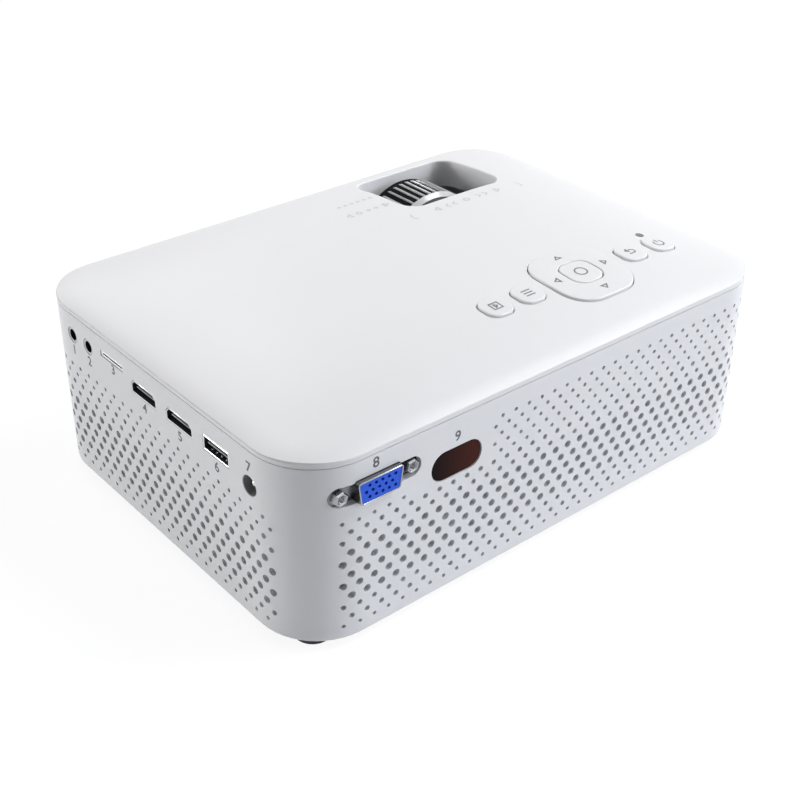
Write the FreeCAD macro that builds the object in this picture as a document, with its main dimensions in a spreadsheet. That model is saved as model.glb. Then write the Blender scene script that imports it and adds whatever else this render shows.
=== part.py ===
import FreeCAD, Part
import math
import os
import re

# Compact video projector with a slim disc drive under its light engine.
# Frame: +Z up, origin under the middle of the case on the plane that the feet
# stand on.  The lens and the disc tray face -Y, the sockets face +X, the
# analog socket and the remote window face +Y.

SIZES = [
    # case
    ("case_width", 198.0),
    ("case_depth", 146.0),
    ("corner_radius", 21.0),
    ("wall_thickness", 2.2),
    ("shell_height", 60.2),
    ("foot_height", 3.0),
    ("foot_radius", 6.0),
    ("foot_inset", 2.5),
    ("base_thickness", 2.5),
    ("base_clearance", 0.2),
    ("boss_radius", 6.5),
    ("boss_height", 26.0),
    ("screw_radius", 1.45),
    ("screw_length", 12.0),
    ("screw_head_radius", 2.8),
    ("screw_head_height", 1.6),
    ("pilot_clearance", 0.05),
    ("tripod_setback", 10.5),
    ("tripod_bore_radius", 2.55),
    ("tripod_insert_radius", 4.4),
    ("tripod_depth", 8.0),
    ("tripod_boss_wall", 1.6),
    # cover
    ("seam_gap", 0.9),
    ("seam_inset", 0.45),
    ("cover_edge", 1.5),
    ("cover_wall", 2.2),
    ("cover_lip", 2.0),
    ("crown_rise", 5.5),
    ("crown_reach", 60.0),
    # finger opening above the focus ring
    ("opening_width", 45.6),
    ("opening_depth", 32.4),
    ("opening_radius", 7.0),
    ("opening_wall", 1.5),
    ("opening_reach", 12.0),
    # vents
    ("vent_pitch", 5.334),
    ("vent_row_pitch", 3.81),
    ("vent_radius", 1.3),
    ("vent_rear_row", 18.42),
    ("vent_port_row", 14.6),
    ("vent_rows", 5),
    # keys
    ("key_setback", 30.5),
    ("key_middle", -37.3),
    ("key_near_pitch", 24.0),
    ("key_far_pitch", 14.0),
    ("key_size", 10.0),
    ("key_corner", 3.6),
    ("key_rise", 0.8),
    ("key_gap", 0.3),
    ("key_flange", 0.8),
    ("key_flange_height", 0.45),
    ("key_travel_room", 0.8),
    ("pad_size", 30.0),
    ("pad_corner", 10.0),
    ("ok_size", 12.6),
    ("ok_corner", 4.5),
    ("ok_gap", 0.4),
    ("gimbal_radius", 9.4),
    ("gimbal_bore", 7.8),
    ("gimbal_height", 0.7),
    ("key_board_height", 62.4),
    ("key_board_thickness", 1.2),
    ("key_board_depth", 26.0),
    ("switch_size", 4.4),
    ("switch_height", 1.2),
    ("indicator_radius", 1.4),
    ("indicator_offset", 8.2),
    ("cover_post_radius", 2.0),
    # lens
    ("lens_place", -47.0),
    ("lens_height", 45.0),
    ("ring_radius", 22.0),
    ("ring_length", 18.5),
    ("ring_setback", 15.5),
    ("ring_ribs", 36),
    ("ring_rib_width", 1.7),
    ("ring_rib_depth", 1.2),
    ("ring_clearance", 0.05),
    ("sleeve_radius", 15.5),
    ("sleeve_bore", 13.6),
    ("sleeve_setback", 8.0),
    ("sleeve_flange_radius", 19.0),
    ("sleeve_flange_thickness", 2.5),
    ("barrel_clearance", 0.08),
    ("barrel_bore", 12.2),
    ("barrel_setback", 7.0),
    ("barrel_length", 38.0),
    ("element_radius", 12.1),
    ("element_thickness", 5.0),
    ("element_curve", 26.0),
    ("element_recess", 1.8),
    ("lens_port_radius", 16.5),
    ("lens_trim_width", 2.4),
    # light engine
    ("deck_height", 19.0),
    ("deck_thickness", 2.0),
    ("deck_gap", 0.6),
    ("deck_leg_radius", 4.0),
    ("deck_leg_place", 75.0),
    ("deck_leg_spread", 48.0),
    ("engine_setback", 53.0),
    ("engine_depth", 64.0),
    ("engine_left", -73.0),
    ("engine_right", 36.0),
    ("engine_height", 41.0),
    ("engine_wall", 2.0),
    ("panel_width", 54.0),
    ("panel_height", 29.0),
    ("panel_thickness", 1.4),
    ("panel_place", -10.0),
    ("fresnel_thickness", 2.0),
    ("fresnel_gap", 6.0),
    ("mirror_length", 56.0),
    ("mirror_thickness", 2.0),
    ("condenser_radius", 15.0),
    ("condenser_curve", 19.0),
    ("condenser_thickness", 8.0),
    ("condenser_place", 22.0),
    ("emitter_size", 12.0),
    ("led_board_size", 34.0),
    ("led_board_thickness", 1.6),
    ("sink_depth", 15.0),
    ("sink_base", 4.0),
    ("sink_fins", 12),
    ("sink_fin_thickness", 1.2),
    ("glass_seat", 2.0),
    ("glass_gap", 0.1),
    # fan and speaker
    ("fan_size", 40.0),
    ("fan_depth", 14.0),
    ("fan_place", 13.0),
    ("fan_bore", 18.8),
    ("fan_hub", 8.5),
    ("fan_tip_gap", 0.7),
    ("fan_blades", 7),
    ("fan_blade_thickness", 1.2),
    ("fan_pin_radius", 1.5),
    ("fan_wall_gap", 0.5),
    ("speaker_size", 38.0),
    ("speaker_place", -10.0),
    ("speaker_plate", 1.6),
    ("speaker_cone_radius", 16.0),
    ("speaker_cone_depth", 7.0),
    ("speaker_magnet_radius", 11.0),
    ("speaker_magnet_depth", 6.0),
    ("power_board_left", -78.0),
    ("power_board_width", 42.0),
    ("power_board_depth", 20.0),
    ("power_board_lift", 4.0),
    # main board and sockets
    ("board_height", 47.4),
    ("board_thickness", 1.6),
    ("board_left", 57.0),
    ("board_edge_gap", 1.0),
    ("board_tail_left", 34.0),
    ("board_tail_depth", 17.0),
    ("board_post_radius", 2.5),
    ("socket_gap", 0.15),
    ("socket_metal", 0.45),
    ("jack_height", 55.7),
    ("jack_nose_radius", 2.7),
    ("jack_bore_radius", 1.75),
    ("jack_depth", 12.0),
    ("jack_body", 6.6),
    ("headphone_place", -48.4),
    ("av_place", -38.5),
    ("card_place", -23.1),
    ("card_height", 57.9),
    ("card_width", 12.4),
    ("card_slot", 1.5),
    ("card_depth", 15.0),
    ("video_place", -5.2),
    ("video_pitch", 19.7),
    ("video_height", 54.3),
    ("video_width", 14.0),
    ("video_tall", 4.6),
    ("video_depth", 11.0),
    ("video_chamfer", 1.6),
    ("data_place", 33.8),
    ("data_height", 54.4),
    ("data_width", 13.1),
    ("data_tall", 5.1),
    ("data_depth", 14.0),
    ("power_place", 50.0),
    ("power_height", 51.6),
    ("power_radius", 3.5),
    ("power_bore", 3.0),
    ("power_pin", 0.85),
    ("power_depth", 10.0),
    ("power_setback", 0.35),
    ("analog_setback", 26.0),
    ("analog_height", 53.3),
    ("analog_spacing", 24.99),
    ("analog_screw_radius", 2.5),
    ("analog_thread_radius", 1.4),
    ("analog_pocket_tall", 6.6),
    ("analog_pocket_wide", 31.6),
    ("analog_shell_wide", 15.8),
    ("analog_shell_tall", 7.9),
    ("analog_proud", 1.6),
    ("analog_flange", 1.0),
    ("window_setback", 55.8),
    ("window_height", 48.0),
    ("window_wide", 19.4),
    ("window_tall", 10.0),
    ("receiver_radius", 2.6),
    # disc drive
    ("drive_width", 128.0),
    ("drive_tall", 12.7),
    ("drive_reach", 128.5),
    ("drive_metal", 0.8),
    ("tray_lift", 2.5),
    ("tray_thick", 5.0),
    ("tray_gap", 0.35),
    ("rail_thick", 0.9),
    ("rail_tall", 3.0),
    ("rail_length", 104.0),
    ("disc_radius", 60.4),
    ("disc_recess", 1.6),
    ("disc_setback", 64.6),
    ("hub_radius", 7.3),
    ("hub_flange_radius", 13.0),
    ("hub_hole_gap", 1.0),
    ("sled_window_wide", 40.0),
    ("sled_window_long", 42.0),
    ("sled_wide", 34.0),
    ("sled_long", 16.0),
    ("sled_thick", 3.4),
        ("rod_radius", 1.0),
    ("rod_clearance", 0.05),
    ("bezel_proud", 0.2),
    ("bezel_gap", 0.4),
    ("eject_width", 9.0),
    ("eject_tall", 2.6),
    ("eject_place", 44.0),
    ("eject_gap", 0.2),
]

# Places that follow the case when its width or depth changes
PLACES = [
    ("tripod_place", "case_depth / 2 - tripod_setback"),
    ("key_row", "case_depth / 2 - key_setback"),
    ("ring_place", "ring_setback - case_depth / 2"),
    ("sleeve_front", "sleeve_setback - case_depth / 2"),
    ("barrel_front", "barrel_setback - case_depth / 2"),
    ("engine_front", "engine_setback - case_depth / 2"),
    ("analog_place", "case_width / 2 - analog_setback"),
    ("window_place", "case_width / 2 - window_setback"),
    ("drive_back", "drive_reach - case_depth / 2"),
    ("disc_place", "disc_setback - case_depth / 2"),
]

doc = FreeCAD.newDocument("disc_projector")
sheet = doc.addObject("Spreadsheet::Sheet", "Sizes")
for row, (alias, number) in enumerate(SIZES, start=1):
    sheet.set(f"A{row}", alias)
    sheet.set(f"B{row}", str(number))
    sheet.setAlias(f"B{row}", alias)
for row, (alias, formula) in enumerate(PLACES, start=len(SIZES) + 1):
    sheet.set(f"A{row}", alias)
    sheet.set(f"B{row}", f"={formula}")
    sheet.setAlias(f"B{row}", alias)
doc.recompute()

NODES = {}

X_AXIS = FreeCAD.Vector(1, 0, 0)
Y_AXIS = FreeCAD.Vector(0, 1, 0)
Z_AXIS = FreeCAD.Vector(0, 0, 1)
TURNS = {
    "Z": FreeCAD.Rotation(),
    "Y": FreeCAD.Rotation(X_AXIS, -90),
    "X": FreeCAD.Rotation(Y_AXIS, 90),
}
DIRECTIONS = {"X": X_AXIS, "Y": Y_AXIS, "Z": Z_AXIS}


def with_sheet(text):
    """Put the sheet's name before each alias in an expression."""
    return re.sub(r"\b([a-z]+(?:_[a-z]+)+)\b", r"Sizes.\1", str(text))


def value(text):
    """Work out an expression on the sheet's sizes as a plain number."""
    return float(sheet.evalExpression(with_sheet(text)))


def bind(thing, **properties):
    """Tie properties of an object to expressions on the sheet."""
    for name, text in properties.items():
        thing.setExpression(name, with_sheet(text))


def place(thing, spot):
    """Tie an object's place to three expressions."""
    for letter, text in zip("xyz", spot):
        thing.setExpression(f"Placement.Base.{letter}", with_sheet(text))


def box(label, low, size):
    """A plain box from its low corner."""
    thing = doc.addObject("Part::Box", label)
    bind(thing, Length=size[0], Width=size[1], Height=size[2])
    place(thing, low)
    return thing


def cylinder(label, start, radius, length, axis="Z"):
    """A cylinder that starts at a point and runs along an axis."""
    thing = doc.addObject("Part::Cylinder", label)
    thing.Placement = FreeCAD.Placement(FreeCAD.Vector(), TURNS[axis])
    bind(thing, Radius=radius, Height=length)
    place(thing, start)
    return thing


def cone(label, start, first, second, length, axis="Z"):
    """A cone that starts at a point and runs along an axis."""
    thing = doc.addObject("Part::Cone", label)
    thing.Placement = FreeCAD.Placement(FreeCAD.Vector(), TURNS[axis])
    bind(thing, Radius1=first, Radius2=second, Height=length)
    place(thing, start)
    return thing


def sphere(label, centre, radius):
    """A full ball."""
    thing = doc.addObject("Part::Sphere", label)
    bind(thing, Radius=radius)
    place(thing, centre)
    return thing


def rounded(label, low, size, radius, axis="Z"):
    """A box whose four edges along one axis are rounded, as a PartDesign body."""
    body = doc.addObject("PartDesign::Body", label)
    block = body.newObject("PartDesign::AdditiveBox", f"{label}_block")
    bind(block, Length=size[0], Width=size[1], Height=size[2])
    place(block, low)
    doc.recompute([block])
    names = []
    for number, edge in enumerate(block.Shape.Edges, start=1):
        along = edge.tangentAt(edge.FirstParameter)
        if abs(along.dot(DIRECTIONS[axis])) > 0.99:
            names.append(f"Edge{number}")
    fillet = body.newObject("PartDesign::Fillet", f"{label}_corners")
    fillet.Base = (block, names)
    bind(fillet, Radius=radius)
    body.Tip = fillet
    return body


def fuse(label, pieces):
    """One solid from several that touch."""
    thing = doc.addObject("Part::MultiFuse", label)
    thing.Shapes = pieces
    thing.Refine = True
    return thing


def group(label, pieces):
    """Several separate solids kept together."""
    thing = doc.addObject("Part::Compound", label)
    thing.Links = pieces
    return thing


def cut(label, base, tools):
    """A solid with other solids taken away."""
    tool = tools[0] if len(tools) == 1 else group(f"{label}_tools", tools)
    thing = doc.addObject("Part::Cut", label)
    thing.Base = base
    thing.Tool = tool
    return thing


def common(label, pieces):
    """What several solids share."""
    thing = doc.addObject("Part::MultiCommon", label)
    thing.Shapes = pieces
    return thing


def made(label, shape):
    """A shape worked out in code from the sheet's sizes."""
    thing = doc.addObject("Part::Feature", label)
    thing.Shape = shape
    return thing


def node(name, thing):
    """Name the object that is one finished sub-part."""
    thing.Label = name
    NODES[name] = thing
    return thing


# Levels and faces that several pieces share
SEAM = "(foot_height + shell_height)"
BASE_TOP = "(foot_height + base_thickness)"
DECK_TOP = "(deck_height + deck_thickness)"
BOARD_TOP = "(board_height + board_thickness)"
KEY_BOARD_TOP = "(key_board_height + key_board_thickness)"
KEY_FOOT = f"({KEY_BOARD_TOP} + switch_height + key_travel_room)"
SIDE = "(case_width / 2)"
BACK = "(case_depth / 2)"
INNER_SIDE = "(case_width / 2 - wall_thickness)"
INNER_BACK = "(case_depth / 2 - wall_thickness)"
ABOVE = "30"


def outline(label, inset, low, height):
    """The case's rounded outline, moved inwards by an inset, as a slab."""
    return rounded(
        label,
        (f"-({SIDE} - {inset})", f"-({BACK} - {inset})", low),
        (f"case_width - 2 * {inset}", f"case_depth - 2 * {inset}", height),
        f"corner_radius - {inset}",
    )


def crown_height(across, along):
    """Height of the cover's outer skin over a point of the plan."""
    flat_side = value("case_width / 2 - crown_reach")
    flat_back = value("case_depth / 2 - crown_reach")
    reach = value("crown_reach")
    fall_side = (max(0.0, abs(across) - flat_side) / reach) ** 3
    fall_back = (max(0.0, abs(along) - flat_back) / reach) ** 3
    rise = value("crown_rise") * (1 - fall_side) * (1 - fall_back)
    return value(f"{SEAM} + seam_gap + cover_edge") + rise


def crown_solid(lift):
    """A thick slab whose top is the cover's outer skin, moved by a lift."""
    margin = 4.0
    columns = 19
    rows = 15
    thickness = 40.0
    grid = []
    for column in range(columns):
        across = (2 * column / (columns - 1) - 1) * (value(SIDE) + margin)
        line = []
        for row_number in range(rows):
            along = (2 * row_number / (rows - 1) - 1) * (value(BACK) + margin)
            height = crown_height(across, along) + lift
            line.append(FreeCAD.Vector(across, along, height))
        grid.append(line)
    skin = Part.BSplineSurface()
    skin.interpolate(grid)
    return skin.toShape().extrude(FreeCAD.Vector(0, 0, -thickness))


def corner_spots(place_x, place_y):
    """The four places that mirror one place about the case's middle."""
    return [
        (f"({sign_x} * {place_x})", f"({sign_y} * {place_y})")
        for sign_x in (-1, 1)
        for sign_y in (-1, 1)
    ]


# The feet stand under the case's four corner bosses
CORNER_REACH = "((corner_radius - foot_inset - foot_radius) * 0.70711)"
FOOT_X = f"({SIDE} - corner_radius + {CORNER_REACH})"
FOOT_Y = f"({BACK} - corner_radius + {CORNER_REACH})"
FOOT_SPOTS = corner_spots(FOOT_X, FOOT_Y)


def build_feet_and_base():
    """Rubber feet, case screws, base plate and tripod insert."""
    feet = []
    screws = []
    holes = []
    for number, (spot_x, spot_y) in enumerate(FOOT_SPOTS):
        feet.append(cylinder(f"foot_{number}", (spot_x, spot_y, "0"), "foot_radius", "foot_height"))
        head = cylinder(
            f"screw_head_{number}", (spot_x, spot_y, "foot_height"),
            "screw_head_radius", "screw_head_height",
        )
        shank = cylinder(
            f"screw_shank_{number}", (spot_x, spot_y, "foot_height + screw_head_height"),
            "screw_radius", "screw_length",
        )
        screws.append(fuse(f"screw_{number}", [head, shank]))
        holes.append(cylinder(
            f"screw_seat_{number}", (spot_x, spot_y, "foot_height"),
            "screw_head_radius + base_clearance", "screw_head_height",
        ))
        holes.append(cylinder(
            f"screw_hole_{number}", (spot_x, spot_y, "foot_height"),
            "screw_radius + base_clearance", "base_thickness",
        ))
    node("rubber_feet", group("feet_group", feet))
    node("case_screws", group("screws_group", screws))

    plate = outline("base_slab", "(wall_thickness + base_clearance)", "foot_height", "base_thickness")
    boss = cylinder(
        "tripod_boss", ("0", "tripod_place", "foot_height"),
        "tripod_insert_radius + tripod_boss_wall", "tripod_depth",
    )
    seat = cylinder("tripod_seat", ("0", "tripod_place", "foot_height"),
                    "tripod_insert_radius", "tripod_depth")
    node("base_plate", cut("base_cut", fuse("base_blank", [plate, boss]), holes + [seat]))
    insert = cylinder("insert_blank", ("0", "tripod_place", "foot_height"),
                      "tripod_insert_radius", "tripod_depth")
    thread = cylinder("insert_bore", ("0", "tripod_place", "foot_height"),
                      "tripod_bore_radius", "tripod_depth")
    node("tripod_insert", cut("insert_cut", insert, [thread]))


def vent_prism(across, height, depth, face):
    """One six-sided vent through a wall that faces +Y or +X."""
    corners = []
    radius = value("vent_radius")
    for step in range(7):
        angle = math.radians(60 * step + 30)
        side = across + radius * math.cos(angle)
        level = height + radius * math.sin(angle)
        if face == "Y":
            corners.append(FreeCAD.Vector(side, depth, level))
        else:
            corners.append(FreeCAD.Vector(depth, side, level))
    wire = Part.makePolygon(corners)
    through = value("3 * wall_thickness")
    direction = Y_AXIS if face == "Y" else X_AXIS
    return Part.Face(wire).extrude(direction * through)


def vent_band(label, face, depth, first_row, reach, rows):
    """Staggered rows of vents along the flat stretch of one wall."""
    pitch = value("vent_pitch")
    prisms = []
    for row_number in range(rows):
        height = first_row + row_number * value("vent_row_pitch")
        shift = pitch / 2 if row_number % 2 else 0.0
        count = int(reach // pitch) + 1
        for column in range(-count, count + 1):
            across = column * pitch + shift
            if abs(across) > reach:
                continue
            prisms.append(vent_prism(across, height, depth, face))
    return made(label, Part.makeCompound(prisms))


# Places of the two video sockets along the +X wall
VIDEO_SPOTS = ["video_place", "(video_place + video_pitch)"]


def build_shell():
    """Perforated wall ring with its corner bosses and every cut-out."""
    outer = outline("shell_outer", "0", "foot_height", "shell_height")
    inner = outline("shell_inner", "wall_thickness", "foot_height - 1", "shell_height + 2")
    ring = cut("shell_ring", outer, [inner])
    bosses = []
    cuts = []
    for number, (spot_x, spot_y) in enumerate(FOOT_SPOTS):
        bosses.append(cylinder(f"boss_{number}", (spot_x, spot_y, BASE_TOP), "boss_radius", "boss_height"))
        cuts.append(cylinder(
            f"pilot_{number}", (spot_x, spot_y, BASE_TOP),
            "screw_radius + pilot_clearance", "screw_length + 2",
        ))
    blank = fuse("shell_blank", [ring] + bosses)

    side_start = f"{INNER_SIDE} - 1"
    through = "wall_thickness + 2"
    for name, spot in (("headphone", "headphone_place"), ("av", "av_place")):
        cuts.append(cylinder(
            f"{name}_hole", (side_start, spot, "jack_height"),
            "jack_nose_radius + socket_gap", through, "X",
        ))
    cuts.append(box(
        "card_hole",
        (side_start, "card_place - card_width / 2 - socket_gap", "card_height - card_slot / 2 - socket_gap"),
        (through, "card_width + 2 * socket_gap", "card_slot + 2 * socket_gap"),
    ))
    for number, spot in enumerate(VIDEO_SPOTS, start=1):
        cuts.append(made_video_prism(f"video_hole_{number}", spot, "socket_gap", side_start, through))
    cuts.append(box(
        "data_hole",
        (side_start, "data_place - data_width / 2 - socket_gap", "data_height - data_tall / 2 - socket_gap"),
        (through, "data_width + 2 * socket_gap", "data_tall + 2 * socket_gap"),
    ))
    cuts.append(cylinder(
        "power_hole", (side_start, "power_place", "power_height"),
        "power_radius + socket_gap", through, "X",
    ))
    back_start = f"{INNER_BACK} - 4"
    cuts.append(rounded(
        "analog_hole",
        ("analog_place - analog_pocket_wide / 2", back_start, "analog_height - analog_pocket_tall / 2"),
        ("analog_pocket_wide", "wall_thickness + 6", "analog_pocket_tall"),
        "analog_pocket_tall / 2 - 0.02", "Y",
    ))
    cuts.append(analog_prism("analog_shell_hole", "(0 - socket_gap)", back_start, "wall_thickness + 6"))
    cuts.append(rounded(
        "analog_seat",
        ("analog_place - analog_pocket_wide / 2 + 0.2", back_start, f"{BOARD_TOP} - 0.3"),
        ("analog_pocket_wide - 0.4", f"{ANALOG_FLANGE} + analog_flange + 0.2 - ({back_start})",
         f"2 * (analog_height - {BOARD_TOP}) + 0.6"),
        f"analog_height - {BOARD_TOP} + 0.28", "Y",
    ))
    cuts.append(rounded(
        "window_hole",
        ("window_place - window_wide / 2 - socket_gap", f"{INNER_BACK} - 1",
         "window_height - window_tall / 2 - socket_gap"),
        ("window_wide + 2 * socket_gap", through, "window_tall + 2 * socket_gap"),
        "window_tall / 2 + socket_gap - 0.02", "Y",
    ))
    front_start = f"-{BACK} - 1"
    cuts.append(cylinder(
        "lens_port", ("lens_place", front_start, "lens_height"), "lens_port_radius", through, "Y",
    ))
    cuts.append(box(
        "tray_slot",
        ("-drive_width / 2 - bezel_gap", front_start, f"{BASE_TOP} + bezel_gap"),
        ("drive_width + 2 * bezel_gap", through, "drive_tall - 2 * bezel_gap + drive_metal"),
    ))
    flat_back = value("case_width / 2 - corner_radius")
    flat_side = value("case_depth / 2 - corner_radius")
    rows = int(value("vent_rows"))
    cuts.append(vent_band(
        "vents_back", "Y", value(f"{INNER_BACK} - wall_thickness"),
        value("vent_rear_row"), flat_back - value("vent_radius"), rows,
    ))
    cuts.append(vent_band(
        "vents_port", "X", value(f"{INNER_SIDE} - wall_thickness"),
        value("vent_port_row"), flat_side - value("vent_radius"), rows,
    ))
    cuts.append(vent_band(
        "vents_far", "X", value(f"-{SIDE} - wall_thickness"),
        value("vent_port_row + 2 * vent_row_pitch"), flat_side - value("vent_radius"), rows - 2,
    ))
    node("body_shell", cut("shell_cut", blank, cuts))


def made_video_prism(label, spot, grow, start, length):
    """The video socket's outline, wide at the top, chamfered below, run along +X."""
    middle = value(spot)
    half = value(f"video_width / 2 + {grow}")
    top = value(f"video_height + video_tall / 2 + {grow}")
    bottom = value(f"video_height - video_tall / 2 - {grow}")
    corner = value("video_chamfer")
    begin = value(start)
    outline_points = [
        (-half, top), (half, top), (half, bottom + corner), (half - corner, bottom),
        (corner - half, bottom), (-half, bottom + corner), (-half, top),
    ]
    corners = [FreeCAD.Vector(begin, middle + across, level) for across, level in outline_points]
    return made(label, Part.Face(Part.makePolygon(corners)).extrude(X_AXIS * value(length)))


# Key centres along the row, from the +X end
KEYS = {
    "source_key": "(key_middle + key_near_pitch + key_far_pitch)",
    "menu_key": "(key_middle + key_near_pitch)",
    "return_key": "(key_middle - key_near_pitch)",
    "power_key": "(key_middle - key_near_pitch - key_far_pitch)",
}
INDICATOR_X = KEYS["power_key"]
INDICATOR_Y = "(key_row - indicator_offset)"


def square(label, middle_x, middle_y, size, corner, low, height):
    """A rounded square column about a middle."""
    return rounded(
        label,
        (f"{middle_x} - ({size}) / 2", f"{middle_y} - ({size}) / 2", low),
        (size, size, height),
        corner,
    )


def build_cover(skin, lining):
    """Crowned cover with its lip, the finger well and the key openings."""
    top_band = outline("cover_band", "0", f"{SEAM} + seam_gap", ABOVE)
    groove_band = outline("cover_groove", "seam_inset", SEAM, "seam_gap + 0.5")
    lip = outline(
        "cover_lip_ring", "(wall_thickness + base_clearance)",
        f"{SEAM} - cover_lip", "cover_lip + seam_gap + cover_edge",
    )
    blank = common("cover_blank", [fuse("cover_column", [top_band, groove_band, lip]), skin])
    hollow = common("cover_hollow", [
        outline("cover_inside", "(2 * wall_thickness)", f"{SEAM} - cover_lip - 1", ABOVE),
        lining,
    ])
    shell = cut("cover_shell", blank, [hollow])

    opening_y = "(ring_place + ring_length / 2 + 2.4)"
    well_low = f"({SEAM} - opening_reach + cover_edge + 3)"
    well_outer = rounded(
        "well_outer",
        ("lens_place - opening_width / 2 - opening_wall",
         f"{opening_y} - opening_depth / 2 - opening_wall", well_low),
        ("opening_width + 2 * opening_wall", "opening_depth + 2 * opening_wall", ABOVE),
        "opening_radius + opening_wall",
    )
    well = common("well_blank", [well_outer, skin])
    opening = rounded(
        "well_opening",
        ("lens_place - opening_width / 2", f"{opening_y} - opening_depth / 2", f"{well_low} - 1"),
        ("opening_width", "opening_depth", "2 * " + ABOVE),
        "opening_radius",
    )
    rear_gap = box(
        "well_rear_gap",
        ("lens_place - opening_width / 2 + opening_radius",
         f"{opening_y} + opening_depth / 2 - 1", f"{well_low} - 1"),
        ("opening_width - 2 * opening_radius", "opening_wall + 2",
         f"opening_reach - cover_edge - 3 - cover_wall + 4"),
    )
    arch = cylinder(
        "well_arch", ("lens_place", f"-{BACK}", "lens_height"),
        "sleeve_radius + 1.5", f"{BACK} + ring_place", "Y",
    )
    posts = []
    for number, (spot_x, spot_y) in enumerate(KEY_POSTS):
        post = cylinder(f"cover_post_{number}", (spot_x, spot_y, KEY_BOARD_TOP),
                        "cover_post_radius", ABOVE)
        posts.append(common(f"cover_post_trim_{number}", [post, skin]))
    walls = cut("well_walls", well, [rear_gap, arch])
    body = fuse("cover_body", [shell, walls] + posts)
    cuts = [opening]
    for name, spot in KEYS.items():
        cuts.append(square(f"{name}_hole", spot, "key_row", "key_size + 2 * key_gap",
                           "key_corner + key_gap", f"{SEAM} + 1", ABOVE))
    cuts.append(square("pad_hole", "key_middle", "key_row", "pad_size + 2 * key_gap",
                       "pad_corner + key_gap", f"{SEAM} + 1", ABOVE))
    cuts.append(cylinder("indicator_hole", (INDICATOR_X, INDICATOR_Y, f"{SEAM} + 1"),
                         "indicator_radius + socket_gap", ABOVE))
    node("top_cover", cut("cover_cut", body, cuts))


# The key board hangs on four posts of the cover
BOARD_HALF = "(key_near_pitch + key_far_pitch + key_size / 2 + 3)"
POST_X = f"({BOARD_HALF} - 3)"
KEY_BOARD_Y = "(key_row - 2)"
KEY_POSTS = [
    (
        f"(key_middle + {sign_x} * key_near_pitch * 0.9)",
        f"({KEY_BOARD_Y} + {sign_y} * (key_board_depth / 2 - 2.4))",
    )
    for sign_x in (-1, 1)
    for sign_y in (-1, 1)
]


def build_keys(raised_skin):
    """Keys, direction pad, its gimbal, the indicator and the key board."""
    for name, spot in KEYS.items():
        column = square(f"{name}_column", spot, "key_row", "key_size", "key_corner", KEY_FOOT, ABOVE)
        flange = square(f"{name}_flange", spot, "key_row", "key_size + 2 * key_flange",
                        "key_corner", KEY_FOOT, "key_flange_height")
        top = common(f"{name}_top", [column, raised_skin])
        node(name, fuse(f"{name}_solid", [top, flange]))

    pad_column = square("pad_column", "key_middle", "key_row", "pad_size", "pad_corner", KEY_FOOT, ABOVE)
    pad_flange = square("pad_flange", "key_middle", "key_row", "pad_size + 2 * key_flange",
                        "pad_corner", KEY_FOOT, "key_flange_height")
    pad_blank = fuse("pad_blank", [common("pad_top", [pad_column, raised_skin]), pad_flange])
    pad_hole = square("pad_key_hole", "key_middle", "key_row", "ok_size + 2 * ok_gap",
                      "ok_corner + ok_gap", f"{KEY_FOOT} - 1", ABOVE)
    node("nav_pad", cut("pad_cut", pad_blank, [pad_hole]))

    ok_column = square("ok_column", "key_middle", "key_row", "ok_size", "ok_corner", KEY_FOOT, ABOVE)
    node("ok_key", common("ok_top", [ok_column, raised_skin]))

    gimbal_low = f"({KEY_BOARD_TOP} + (switch_height + key_travel_room - gimbal_height) / 2)"
    ring = cylinder("gimbal_ring", ("key_middle", "key_row", gimbal_low), "gimbal_radius", "gimbal_height")
    bore = cylinder("gimbal_hole", ("key_middle", "key_row", gimbal_low), "gimbal_bore", "gimbal_height")
    node("nav_gimbal", cut("gimbal_cut", ring, [bore]))

    board = box(
        "key_board_plate",
        (f"key_middle - {BOARD_HALF}", f"{KEY_BOARD_Y} - key_board_depth / 2", "key_board_height"),
        (f"2 * {BOARD_HALF}", "key_board_depth", "key_board_thickness"),
    )
    pad_reach = "(pad_size / 2 - switch_size / 2 - 0.4)"
    spots = [(spot, "key_row") for spot in KEYS.values()]
    spots.append(("key_middle", "key_row"))
    spots += [(f"(key_middle + {sign} * {pad_reach})", "key_row") for sign in (-1, 1)]
    spots += [("key_middle", f"(key_row + {sign} * {pad_reach})") for sign in (-1, 1)]
    switches = [
        box(
            f"switch_{number}",
            (f"{spot_x} - switch_size / 2", f"{spot_y} - switch_size / 2", KEY_BOARD_TOP),
            ("switch_size", "switch_size", "switch_height"),
        )
        for number, (spot_x, spot_y) in enumerate(spots)
    ]
    node("key_board", fuse("key_board_solid", [board] + switches))

    pipe = cylinder("indicator_pipe", (INDICATOR_X, INDICATOR_Y, KEY_BOARD_TOP),
                    "indicator_radius", ABOVE)
    node("indicator_light", common("indicator_trim", [pipe, made("indicator_skin", crown_solid(0.1))]))


RING_BACK = "(ring_place + ring_length)"
BARREL_BACK = "(barrel_front + barrel_length)"
FRONT_LEDGE = "(barrel_front + element_recess + element_thickness)"
REAR_LEDGE = "(barrel_front + barrel_length - element_thickness - 1)"


def along_lens(label, start, radius, length):
    """A cylinder on the lens axis."""
    return cylinder(label, ("lens_place", start, "lens_height"), radius, length, "Y")


def lens_element(label, flat_face, bulge):
    """Round glass, flat on the side that meets its ledge and bulged on the other."""
    start = f"{flat_face} - element_thickness" if bulge < 0 else flat_face
    disc = along_lens(f"{label}_disc", start, "element_radius", "element_thickness")
    centre = f"{flat_face} + {bulge} * (element_thickness - element_curve)"
    ball = sphere(f"{label}_ball", ("lens_place", centre, "lens_height"), "element_curve")
    return common(f"{label}_solid", [disc, ball])


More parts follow.
